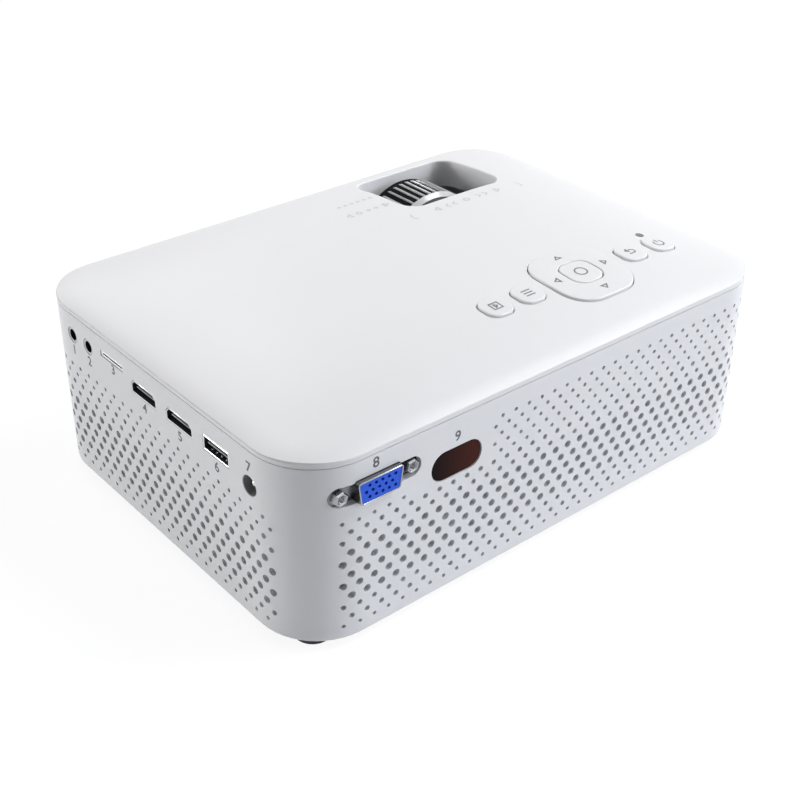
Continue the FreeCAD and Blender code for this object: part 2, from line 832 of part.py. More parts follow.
def ribbed_column():
    """Outline of the focus ring with its finger ribs, run along the lens axis."""
    count = int(value("ring_ribs"))
    crest = value("ring_radius")
    root = value("ring_radius - ring_rib_depth")
    half = value("ring_rib_width / 2")
    middle = FreeCAD.Vector(value("lens_place"), value("ring_place"), value("lens_height"))
    corners = []
    for rib in range(count):
        turn = 2 * math.pi * rib / count
        for radius, side in ((root, -1), (crest, -0.7), (crest, 0.7), (root, 1)):
            angle = turn + side * half / radius
            corners.append(middle + FreeCAD.Vector(radius * math.cos(angle), 0, radius * math.sin(angle)))
    corners.append(corners[0])
    face = Part.Face(Part.makePolygon(corners))
    return made("ring_ribbed_column", face.extrude(Y_AXIS * value("ring_length")))


def build_lens():
    """Fixed sleeve, turning focus ring, sliding barrel with its glass, and front trim."""
    tube = along_lens("sleeve_tube", "sleeve_front", "sleeve_radius", "engine_front - sleeve_front")
    flange = along_lens(
        "sleeve_flange", "engine_front - sleeve_flange_thickness",
        "sleeve_flange_radius", "sleeve_flange_thickness",
    )
    cone_start = f"({RING_BACK} + 0.4)"
    flare = cone(
        "sleeve_flare", ("lens_place", cone_start, "lens_height"),
        "sleeve_radius", "sleeve_flange_radius",
        f"engine_front - sleeve_flange_thickness - {cone_start}", "Y",
    )
    bore = along_lens("sleeve_hole", "sleeve_front - 1", "sleeve_bore", "engine_front - sleeve_front + 2")
    node("lens_sleeve", cut("sleeve_cut", fuse("sleeve_blank", [tube, flare, flange]), [bore]))

    bevel = "(ring_rib_depth + 1.6)"
    body = along_lens("ring_body", "ring_place", "ring_radius", f"ring_length - {bevel}")
    end = cone(
        "ring_bevel", ("lens_place", f"{RING_BACK} - {bevel}", "lens_height"),
        "ring_radius", f"ring_radius - {bevel}", bevel, "Y",
    )
    envelope = fuse("ring_envelope", [body, end])
    hole = along_lens("ring_hole", "ring_place - 1", "sleeve_radius + ring_clearance", "ring_length + 2")
    ribs = common("ring_ribs", [ribbed_column(), envelope])
    node("focus_ring", cut("ring_cut", ribs, [hole]))

    blank = along_lens("barrel_blank", "barrel_front", "sleeve_bore - barrel_clearance", "barrel_length")
    front_bore = along_lens("barrel_front_bore", "barrel_front - 1", "barrel_bore",
                            f"{FRONT_LEDGE} - barrel_front + 1")
    middle_bore = along_lens("barrel_middle_bore", "barrel_front", "barrel_bore - 1", "barrel_length")
    rear_bore = along_lens("barrel_rear_bore", REAR_LEDGE, "barrel_bore", f"{BARREL_BACK} - {REAR_LEDGE} + 1")
    node("lens_barrel", cut("barrel_cut", blank, [front_bore, middle_bore, rear_bore]))
    glasses = [lens_element("front_glass", FRONT_LEDGE, -1), lens_element("rear_glass", REAR_LEDGE, 1)]
    node("lens_elements", group("glass_group", glasses))
    clamp = along_lens("clamp_blank", "barrel_front + 0.2", "barrel_bore - 0.05", "3.9")
    clamp_bore = along_lens("clamp_bore", "barrel_front", "barrel_bore - 1", "6")
    node("element_clamp", cut("clamp_cut", clamp, [clamp_bore]))

    trim_front = f"(-{BACK} - analog_proud)"
    trim = along_lens("trim_blank", trim_front, "lens_port_radius - socket_gap",
                      "wall_thickness + analog_proud")
    trim_bore = along_lens("trim_bore", f"{trim_front} - 1",
                           "lens_port_radius - socket_gap - lens_trim_width",
                           "wall_thickness + analog_proud + 2")
    node("lens_trim", cut("trim_cut", trim, [trim_bore]))


ENGINE_MIDDLE = "(engine_front + engine_depth / 2)"
CONDENSER_FACE = "(condenser_place - condenser_thickness + glass_seat)"
ENGINE_WIDTH = "(engine_right - engine_left)"
ENGINE_FLOOR = f"({DECK_TOP} + engine_wall)"
ENGINE_ROOF = f"({DECK_TOP} + engine_height - engine_wall)"
GLASS_TALL = f"({ENGINE_ROOF} - {ENGINE_FLOOR} - glass_gap)"
GLASS_WIDE = "(engine_depth - 2 * engine_wall - 2 * glass_gap)"
SINK_LEFT = "(engine_right + led_board_thickness)"


def across_light(label, start, thickness):
    """A plate that fills the engine's section across the light path."""
    return box(
        label,
        (start, "engine_front + engine_wall + glass_gap", ENGINE_FLOOR),
        (thickness, GLASS_WIDE, GLASS_TALL),
    )


def build_engine():
    """Light engine: housing, lamp board, condenser, panel, mirror and heat sink."""
    outer = box("engine_outer", ("engine_left", "engine_front", DECK_TOP),
                (ENGINE_WIDTH, "engine_depth", "engine_height - engine_wall"))
    inner = box(
        "engine_inner",
        ("engine_left + engine_wall", "engine_front + engine_wall", ENGINE_FLOOR),
        (f"{ENGINE_WIDTH} - 2 * engine_wall", "engine_depth - 2 * engine_wall", "engine_height"),
    )
    lens_hole = along_lens("engine_lens_hole", "engine_front - 1", "sleeve_bore", "engine_wall + 2")
    lamp_hole = box(
        "engine_lamp_hole",
        ("engine_right - engine_wall - 1", f"{ENGINE_MIDDLE} - emitter_size / 2 - 1",
         "lens_height - emitter_size / 2 - 1"),
        ("engine_wall + 2", "emitter_size + 2", "emitter_size + 2"),
    )
    node("engine_case", cut("engine_cut", outer, [inner, lens_hole, lamp_hole]))
    node("engine_lid", box("engine_lid_plate", ("engine_left", "engine_front", ENGINE_ROOF),
                           (ENGINE_WIDTH, "engine_depth", "engine_wall")))

    panel_left = "(panel_place - panel_thickness / 2)"
    frame = across_light("panel_frame_blank", f"{panel_left} - 0.6", "panel_thickness + 1.2")
    glass_hole = box(
        "panel_hole",
        (f"{panel_left} - 2", f"{ENGINE_MIDDLE} - panel_width / 2 - glass_gap",
         "lens_height - panel_height / 2 - glass_gap"),
        ("panel_thickness + 4", "panel_width + 2 * glass_gap", "panel_height + 2 * glass_gap"),
    )
    node("panel_frame", cut("panel_frame_cut", frame, [glass_hole]))
    node("image_panel", box(
        "panel_glass",
        (panel_left, f"{ENGINE_MIDDLE} - panel_width / 2", "lens_height - panel_height / 2"),
        ("panel_thickness", "panel_width", "panel_height"),
    ))
    node("fresnel_lenses", group("fresnel_group", [
        across_light("fresnel_front", f"{panel_left} - fresnel_gap - fresnel_thickness", "fresnel_thickness"),
        across_light("fresnel_back", f"{panel_left} + panel_thickness + fresnel_gap", "fresnel_thickness"),
    ]))

    mirror = doc.addObject("Part::Box", "mirror_plate")
    mirror.Placement = FreeCAD.Placement(FreeCAD.Vector(), FreeCAD.Rotation(Z_AXIS, 45))
    bind(mirror, Length="mirror_length", Width="mirror_thickness", Height=f"{GLASS_TALL} - 2")
    place(mirror, (
        "lens_place - (mirror_length - mirror_thickness) / 2 * 0.70711",
        f"{ENGINE_MIDDLE} - (mirror_length + mirror_thickness) / 2 * 0.70711",
        ENGINE_FLOOR,
    ))
    node("fold_mirror", mirror)

    holder = across_light("holder_blank", "condenser_place - glass_seat", "2 * glass_seat")
    holder_hole = cylinder(
        "holder_hole", ("condenser_place - condenser_thickness", ENGINE_MIDDLE, "lens_height"),
        "condenser_radius - 1 + glass_gap", "2 * condenser_thickness", "X",
    )
    node("condenser_holder", cut("holder_cut", holder, [holder_hole]))
    disc = cylinder(
        "condenser_disc", (CONDENSER_FACE, ENGINE_MIDDLE, "lens_height"),
        "condenser_radius - 1", "condenser_thickness", "X",
    )
    ball = sphere(
        "condenser_ball",
        (f"{CONDENSER_FACE} + condenser_curve", ENGINE_MIDDLE, "lens_height"),
        "condenser_curve",
    )
    node("condenser_lens", common("condenser_solid", [disc, ball]))

    board = box(
        "lamp_board_plate",
        ("engine_right", f"{ENGINE_MIDDLE} - led_board_size / 2", "lens_height - led_board_size / 2"),
        ("led_board_thickness", "led_board_size", "led_board_size"),
    )
    emitter = box(
        "lamp_emitter",
        ("engine_right - engine_wall - 0.5", f"{ENGINE_MIDDLE} - emitter_size / 2",
         "lens_height - emitter_size / 2"),
        ("engine_wall + 1", "emitter_size", "emitter_size"),
    )
    node("lamp_board", fuse("lamp_board_solid", [board, emitter]))

    sink_wide = "(engine_depth - 20)"
    sink_front = f"({ENGINE_MIDDLE} - {sink_wide} / 2)"
    fins = [box("sink_plate", (SINK_LEFT, sink_front, DECK_TOP), ("sink_base", sink_wide, "engine_height"))]
    count = int(value("sink_fins"))
    for number in range(count):
        fins.append(box(
            f"sink_fin_{number}",
            (f"{SINK_LEFT} + sink_base",
             f"{sink_front} + {number} * ({sink_wide} - sink_fin_thickness) / (sink_fins - 1)", DECK_TOP),
            ("sink_depth - sink_base", "sink_fin_thickness", "engine_height"),
        ))
    node("heat_sink", fuse("sink_solid", fins))


POST_SPOTS = [("(board_left + 4)", "(-48)"), ("(board_left + 34)", "(-42)"),
              ("(board_left + 4)", "62"), ("(board_left + 34)", "42")]


def build_deck():
    """Plate on four legs over the drive that carries everything above it."""
    plate = outline("deck_slab", "(wall_thickness + deck_gap)", "deck_height", "deck_thickness")
    pieces = [plate]
    notches = []
    for number, (spot_x, spot_y) in enumerate(corner_spots("deck_leg_place", "deck_leg_spread")):
        pieces.append(cylinder(f"deck_leg_{number}", (spot_x, spot_y, BASE_TOP),
                               "deck_leg_radius", f"deck_height - {BASE_TOP} + 1"))
    for number, (spot_x, spot_y) in enumerate(FOOT_SPOTS):
        notches.append(cylinder(f"deck_notch_{number}", (spot_x, spot_y, "deck_height - 1"),
                                "boss_radius + deck_gap", "deck_thickness + 2"))
    for number, (spot_x, spot_y) in enumerate(POST_SPOTS):
        pieces.append(cylinder(f"board_post_{number}", (spot_x, spot_y, "deck_height + 0.5"),
                               "board_post_radius", "board_height - deck_height - 0.5"))
    for number, (sign_x, sign_y) in enumerate(((0, 0), (1, 0), (0, 1), (1, 1))):
        pieces.append(cylinder(
            f"power_post_{number}",
            (f"power_board_left + 3 + {sign_x} * (power_board_width - 6)",
             f"{POWER_BOARD_FRONT} + 3 + {sign_y} * (power_board_depth - 6)", "deck_height + 0.5"),
            "board_post_radius", "deck_thickness + power_board_lift - 0.5",
        ))
    node("deck", cut("deck_cut", fuse("deck_blank", pieces), notches))


POWER_BOARD_FRONT = f"({INNER_BACK} - power_board_depth - 2)"
POWER_BOARD_LOW = f"({DECK_TOP} + power_board_lift)"


def build_power_board():
    """Power converter board with its coil and capacitors."""
    plate = box("power_plate", ("power_board_left", POWER_BOARD_FRONT, POWER_BOARD_LOW),
                ("power_board_width", "power_board_depth", "board_thickness"))
    pieces = [plate]
    for number, (step, radius, tall) in enumerate(((9, 4.0, 12.0), (19, 4.0, 12.0), (32, 6.0, 7.0))):
        pieces.append(cylinder(
            f"power_component_{number}",
            (f"power_board_left + {step}", f"{POWER_BOARD_FRONT} + power_board_depth / 2",
             f"{POWER_BOARD_LOW} + board_thickness / 2"),
            radius, f"{tall} + board_thickness / 2",
        ))
    node("power_board", fuse("power_board_solid", pieces))


FAN_LEFT = f"(-{INNER_SIDE} + fan_wall_gap)"
FAN_RIGHT = f"({FAN_LEFT} + fan_depth)"
FAN_Z = f"({DECK_TOP} + fan_size / 2)"


def build_fan():
    """Fan frame with its spider and pin, and the bladed impeller."""
    frame = rounded("fan_block", (FAN_LEFT, "fan_place - fan_size / 2", DECK_TOP),
                    ("fan_depth", "fan_size", "fan_size"), "3", "X")
    bore = cylinder("fan_hole", (f"{FAN_LEFT} - 1", "fan_place", FAN_Z), "fan_bore", "fan_depth + 2", "X")
    plate = cylinder("fan_motor_plate", (f"{FAN_RIGHT} - 1.5", "fan_place", FAN_Z), "fan_hub", "1.5", "X")
    pin = cylinder("fan_pin", (f"{FAN_LEFT} + 2", "fan_place", FAN_Z), "fan_pin_radius", "fan_depth - 2", "X")
    level_arm = box("fan_level_arm", (f"{FAN_RIGHT} - 1.5", "fan_place - fan_bore - 0.5", f"{FAN_Z} - 1.2"),
                    ("1.5", "2 * fan_bore + 1", "2.4"))
    upright_arm = box("fan_upright_arm",
                      (f"{FAN_RIGHT} - 1.5", "fan_place - 1.2", f"{FAN_Z} - fan_bore - 0.5"),
                      ("1.5", "2.4", "2 * fan_bore + 1"))
    node("fan_frame", fuse("fan_frame_solid", [
        cut("fan_frame_cut", frame, [bore]), plate, pin, level_arm, upright_arm]))

    left = value(f"{FAN_LEFT} + 1.2")
    length = value("fan_depth - 1.5 - 1.2 - 0.6")
    middle = FreeCAD.Vector(0, value("fan_place"), value(FAN_Z))
    start = FreeCAD.Vector(left, 0, 0) + middle
    hub = Part.makeCylinder(value("fan_hub"), length, start, X_AXIS)
    hollow = Part.makeCylinder(
        value("fan_pin_radius + rod_clearance"), length + 2, start - X_AXIS, X_AXIS)
    tip = value("fan_bore - fan_tip_gap")
    sweep_limit = Part.makeCylinder(tip, length, start, X_AXIS)
    root = value("fan_hub - 1")
    thickness = value("fan_blade_thickness")
    chord = length * 1.05
    blades = []
    for number in range(int(value("fan_blades"))):
        corner = FreeCAD.Vector(-chord / 2, -thickness / 2, root)
        blade = Part.makeBox(chord, thickness, tip + 1 - root, corner)
        blade.rotate(FreeCAD.Vector(), Z_AXIS, 38)
        blade.translate(FreeCAD.Vector(left + length / 2, 0, 0))
        blade.rotate(FreeCAD.Vector(), X_AXIS, 360.0 * number / int(value("fan_blades")))
        blade.translate(middle)
        blades.append(blade.common(sweep_limit))
    node("fan_impeller", made("impeller_solid", hub.fuse(blades).cut(hollow).removeSplitter()))


def build_speaker():
    """Square-plate speaker that faces the back wall."""
    front = f"({INNER_BACK} - 1)"
    plate = box(
        "speaker_square",
        ("speaker_place - speaker_size / 2", f"{front} - speaker_plate", DECK_TOP),
        ("speaker_size", "speaker_plate", "speaker_size"),
    )
    height = f"({DECK_TOP} + speaker_size / 2)"
    back = f"({front} - speaker_cone_depth)"
    basket = cone(
        "speaker_basket", ("speaker_place", back, height),
        "speaker_magnet_radius", "speaker_cone_radius + 1.4", "speaker_cone_depth", "Y",
    )
    opening = cone(
        "speaker_opening", ("speaker_place", f"{back} - 0.01", height),
        "speaker_magnet_radius - 1.4", "speaker_cone_radius + 0.3", "speaker_cone_depth + 0.02", "Y",
    )
    magnet = cylinder(
        "magnet_disc", ("speaker_place", f"{back} - speaker_magnet_depth", height),
        "speaker_magnet_radius", "speaker_magnet_depth", "Y",
    )
    dished = cut("speaker_frame_cut", fuse("speaker_frame_blank", [plate, basket]), [opening])
    node("speaker_frame", fuse("speaker_frame_solid", [dished, magnet]))
    paper = cone(
        "speaker_paper", ("speaker_place", back, height),
        "speaker_magnet_radius - 1.6", "speaker_cone_radius - 0.3", "speaker_cone_depth - 0.4", "Y",
    )
    dish = cone(
        "speaker_dish", ("speaker_place", f"{back} + 1.2", height),
        "speaker_magnet_radius - 4.5", "speaker_cone_radius - 1.2", "speaker_cone_depth - 1.2", "Y",
    )
    node("speaker_cone", cut("speaker_cone_cut", paper, [dish]))


def build_main_board():
    """Board that carries every socket, cut to the case's inside."""
    main = box("board_main", ("board_left", f"-{BACK}", "board_height"),
               (f"{SIDE} - board_left", "case_depth", "board_thickness"))
    tail = box("board_tail", ("board_tail_left", f"{INNER_BACK} - board_tail_depth", "board_height"),
               (f"{SIDE} - board_tail_left", "board_tail_depth", "board_thickness"))
    limit = outline("board_limit", "(wall_thickness + board_edge_gap)", "board_height - 1",
                    "board_thickness + 2")
    plate = common("board_trim", [fuse("board_blank", [main, tail]), limit])
    receiver_low = f"({BOARD_TOP} - 0.5)"
    stem = box("receiver_stem", ("window_place - receiver_radius", f"{INNER_BACK} - 6", receiver_low),
               ("2 * receiver_radius", "3", "6.5"))
    dome = cylinder("receiver_dome", ("window_place", f"{INNER_BACK} - 3.4", receiver_low),
                    "receiver_radius - 0.3", "5.5")
    node("main_board", fuse("board_solid", [plate, stem, dome]))


def build_side_sockets():
    """Sockets that show through the +X wall, each standing on the main board."""
    back_of_wall = f"({INNER_SIDE} - socket_gap)"
    for name, spot in (("headphone_jack", "headphone_place"), ("av_jack", "av_place")):
        body = box(f"{name}_body", (f"{back_of_wall} - jack_depth", f"{spot} - jack_body / 2", BOARD_TOP),
                   ("jack_depth", "jack_body", f"jack_height + jack_body / 2 - {BOARD_TOP}"))
        nose = cylinder(f"{name}_nose", (f"{back_of_wall} - 1", spot, "jack_height"),
                        "jack_nose_radius", f"{SIDE} - {back_of_wall} + 1", "X")
        bore = cylinder(f"{name}_bore", (f"{SIDE} - jack_depth", spot, "jack_height"),
                        "jack_bore_radius", "jack_depth + 1", "X")
        node(name, cut(f"{name}_cut", fuse(f"{name}_blank", [body, nose]), [bore]))

    card_start = f"({back_of_wall} - card_depth)"
    case = box(
        "card_case", (card_start, "card_place - card_width / 2 - 0.8", "card_height - card_slot / 2 - 0.6"),
        ("card_depth", "card_width + 1.6", "card_slot + 1.2"),
    )
    riser = box("card_riser", (f"{card_start} + 2", "card_place - card_width / 2", BOARD_TOP),
                ("card_depth - 4", "card_width", f"card_height - card_slot / 2 - {BOARD_TOP}"))
    slot = box("card_cavity",
               (f"{card_start} + 1", "card_place - card_width / 2 + 0.5", "card_height - 0.55"),
               ("card_depth", "card_width - 1", "1.1"))
    node("card_socket", cut("card_cut", fuse("card_blank", [case, riser]), [slot]))

    face = f"({SIDE} - 0.15)"
    video_start = f"({INNER_SIDE} - video_depth)"
    shells = []
    inserts = []
    for number, spot in enumerate(VIDEO_SPOTS, start=1):
        skin = made_video_prism(f"video_skin_{number}", spot, "0", video_start, f"{face} - {video_start}")
        foot = box(
            f"video_foot_{number}", (f"{video_start} + 1", f"{spot} - video_width / 2 + 2", BOARD_TOP),
            ("video_depth - 3", "video_width - 4", f"video_height - video_tall / 2 - {BOARD_TOP} + 0.2"),
        )
        hollow = made_video_prism(f"video_hollow_{number}", spot, "-socket_metal",
                                  f"{video_start} + 1", "video_depth + 5")
        shells.append(cut(f"video_shell_{number}", fuse(f"video_blank_{number}", [skin, foot]), [hollow]))
        plug = made_video_prism(f"video_plug_{number}", spot, "-(socket_metal + glass_gap)",
                                f"{video_start} + 1", "2.5")
        tongue = box(
            f"video_tongue_{number}", (f"{video_start} + 3", f"{spot} - 5.4", "video_height + 0.1"),
            ("video_depth - 2", "10.8", "0.9"),
        )
        inserts.append(fuse(f"video_insert_{number}", [plug, tongue]))
    node("video_shells", group("video_shell_group", shells))
    node("video_inserts", group("video_insert_group", inserts))

    data_start = f"({INNER_SIDE} - data_depth)"
    skin = box("data_skin", (data_start, "data_place - data_width / 2", "data_height - data_tall / 2"),
               (f"{face} - {data_start}", "data_width", "data_tall"))
    foot = box("data_foot", (f"{data_start} + 1", "data_place - data_width / 2 + 1", BOARD_TOP),
               ("data_depth - 3", "data_width - 2", f"data_height - data_tall / 2 - {BOARD_TOP} + 0.2"))
    hollow = box(
        "data_hollow",
        (f"{data_start} + 1", "data_place - data_width / 2 + socket_metal",
         "data_height - data_tall / 2 + socket_metal"),
        ("data_depth + 5", "data_width - 2 * socket_metal", "data_tall - 2 * socket_metal"),
    )
    node("data_shell", cut("data_shell_cut", fuse("data_blank", [skin, foot]), [hollow]))
    inset = "(socket_metal + glass_gap)"
    plug = box("data_plug", (f"{data_start} + 1", f"data_place - data_width / 2 + {inset}",
                             f"data_height - data_tall / 2 + {inset}"),
               ("2.5", f"data_width - 2 * {inset}", f"data_tall - 2 * {inset}"))
    tongue = box("data_tongue", (f"{data_start} + 3", "data_place - 5.6", "data_height + 0.15"),
                 ("data_depth - 2", "11.2", "1.7"))
    node("data_insert", fuse("data_insert_solid", [plug, tongue]))

    power_face = f"({back_of_wall} - power_setback)"
    body = box("power_body", (f"{power_face} - power_depth", "power_place - power_radius - 1", BOARD_TOP),
               ("power_depth", "2 * power_radius + 2", f"power_height + power_radius + 1 - {BOARD_TOP}"))
    nose = cylinder("power_nose", (f"{power_face} - 0.4", "power_place", "power_height"),
                    "power_radius", f"{SIDE} - {power_face}", "X")
    bore = cylinder("power_bore_tool", (f"{power_face} - power_depth + 1.5", "power_place", "power_height"),
                    "power_bore", "power_depth + 5", "X")
    pin = cylinder("power_pin_rod", (f"{power_face} - power_depth + 1", "power_place", "power_height"),
                   "power_pin", "power_depth", "X")
    jack = cut("power_cut", fuse("power_blank", [body, nose]), [bore])
    node("power_jack", fuse("power_solid", [jack, pin]))


ANALOG_FLANGE = f"({INNER_BACK} - 1.8)"


def analog_prism(label, shrink, start, length):
    """The analog socket's outline, wider at the top, with round corners, run along +Y."""
    middle = value("analog_place")
    level = value("analog_height")
    wide = value(f"analog_shell_wide / 2 - {shrink}")
    narrow = value(f"analog_shell_wide / 2 - {shrink} - 0.9")
    tall = value(f"analog_shell_tall / 2 - {shrink}")
    begin = value(start)
    corners = [(-wide, tall), (wide, tall), (narrow, -tall), (-narrow, -tall), (-wide, tall)]
    wire = Part.makePolygon([FreeCAD.Vector(middle + side, begin, level + up) for side, up in corners])
    block = Part.Face(wire).extrude(Y_AXIS * value(length))
    edges = [edge for edge in block.Edges if abs(edge.tangentAt(edge.FirstParameter).y) > 0.99]
    return made(label, block.makeFillet(value(f"2.4 - {shrink}"), edges))


def build_back_sockets():
    """Analog picture socket with its jackscrews, and the remote window with its receiver."""
    body = box(
        "analog_block", ("analog_place - analog_shell_wide / 2", f"{ANALOG_FLANGE} - 9", BOARD_TOP),
        ("analog_shell_wide", "9", f"analog_height + analog_shell_tall / 2 - {BOARD_TOP}"),
    )
    flange_tall = f"(2 * (analog_height - {BOARD_TOP}))"
    flange = rounded(
        "analog_flange_plate",
        ("analog_place - analog_pocket_wide / 2 + 0.5", ANALOG_FLANGE, BOARD_TOP),
        ("analog_pocket_wide - 1", "analog_flange", flange_tall),
        f"{flange_tall} / 2 - 0.02", "Y",
    )
    skin_start = f"({ANALOG_FLANGE} + analog_flange / 2)"
    skin = analog_prism("analog_skin", "0", skin_start, f"{BACK} + analog_proud - {skin_start}")
    hollow = analog_prism("analog_hollow", "socket_metal", ANALOG_FLANGE, "12")
    node("analog_shell", cut("analog_shell_cut", fuse("analog_blank", [flange, skin]), [hollow]))
    filling = analog_prism("analog_filling", "(socket_metal + glass_gap)", f"{ANALOG_FLANGE} - 1",
                           f"{BACK} + analog_proud + 0.6 - {ANALOG_FLANGE}")
    node("analog_insert", fuse("analog_insert_solid", [body, filling]))

    screws = []
    for number, sign in enumerate((-1, 1)):
        spot = f"(analog_place + {sign} * analog_spacing / 2)"
        hexagon = doc.addObject("Part::Prism", f"jackscrew_hex_{number}")
        hexagon.Placement = FreeCAD.Placement(FreeCAD.Vector(), TURNS["Y"])
        hexagon.Polygon = 6
        bind(hexagon, Circumradius="analog_screw_radius", Height="wall_thickness + 2")
        place(hexagon, (spot, f"{ANALOG_FLANGE} + analog_flange", "analog_height"))
        bore = cylinder(f"jackscrew_bore_{number}",
                        (spot, f"{ANALOG_FLANGE} + analog_flange + 0.6", "analog_height"),
                        "analog_thread_radius", "wall_thickness + 5", "Y")
        screws.append(cut(f"jackscrew_{number}", hexagon, [bore]))
    node("analog_jackscrews", group("jackscrew_group", screws))

    node("remote_window", rounded(
        "window_pane",
        ("window_place - window_wide / 2", f"{INNER_BACK} - 0.4", "window_height - window_tall / 2"),
        ("window_wide", "wall_thickness + 0.5", "window_tall"), "window_tall / 2 - 0.02", "Y",
    ))


DRIVE_FRONT = f"(-({INNER_BACK} - 2 * bezel_gap))"
DRIVE_DEEP = f"(drive_back - {DRIVE_FRONT})"
DRIVE_FLOOR = f"({BASE_TOP} + drive_metal)"
TRAY_LOW = f"({DRIVE_FLOOR} + tray_lift)"
TRAY_TOP = f"({TRAY_LOW} + tray_thick)"
TRAY_FRONT = f"(-({INNER_BACK} - bezel_gap))"
TRAY_BACK = "(drive_back - drive_metal - tray_gap)"
RAIL_OUTER = "(drive_width / 2 - drive_metal - tray_gap)"
TRAY_HALF = f"({RAIL_OUTER} - rail_thick - tray_gap)"
SLED_FRONT = "(disc_place + hub_flange_radius + 3)"
WINDOW_BACK = "(disc_place + hub_flange_radius + 1 + sled_window_long)"
PLATE_THICK = "(tray_lift / 2)"


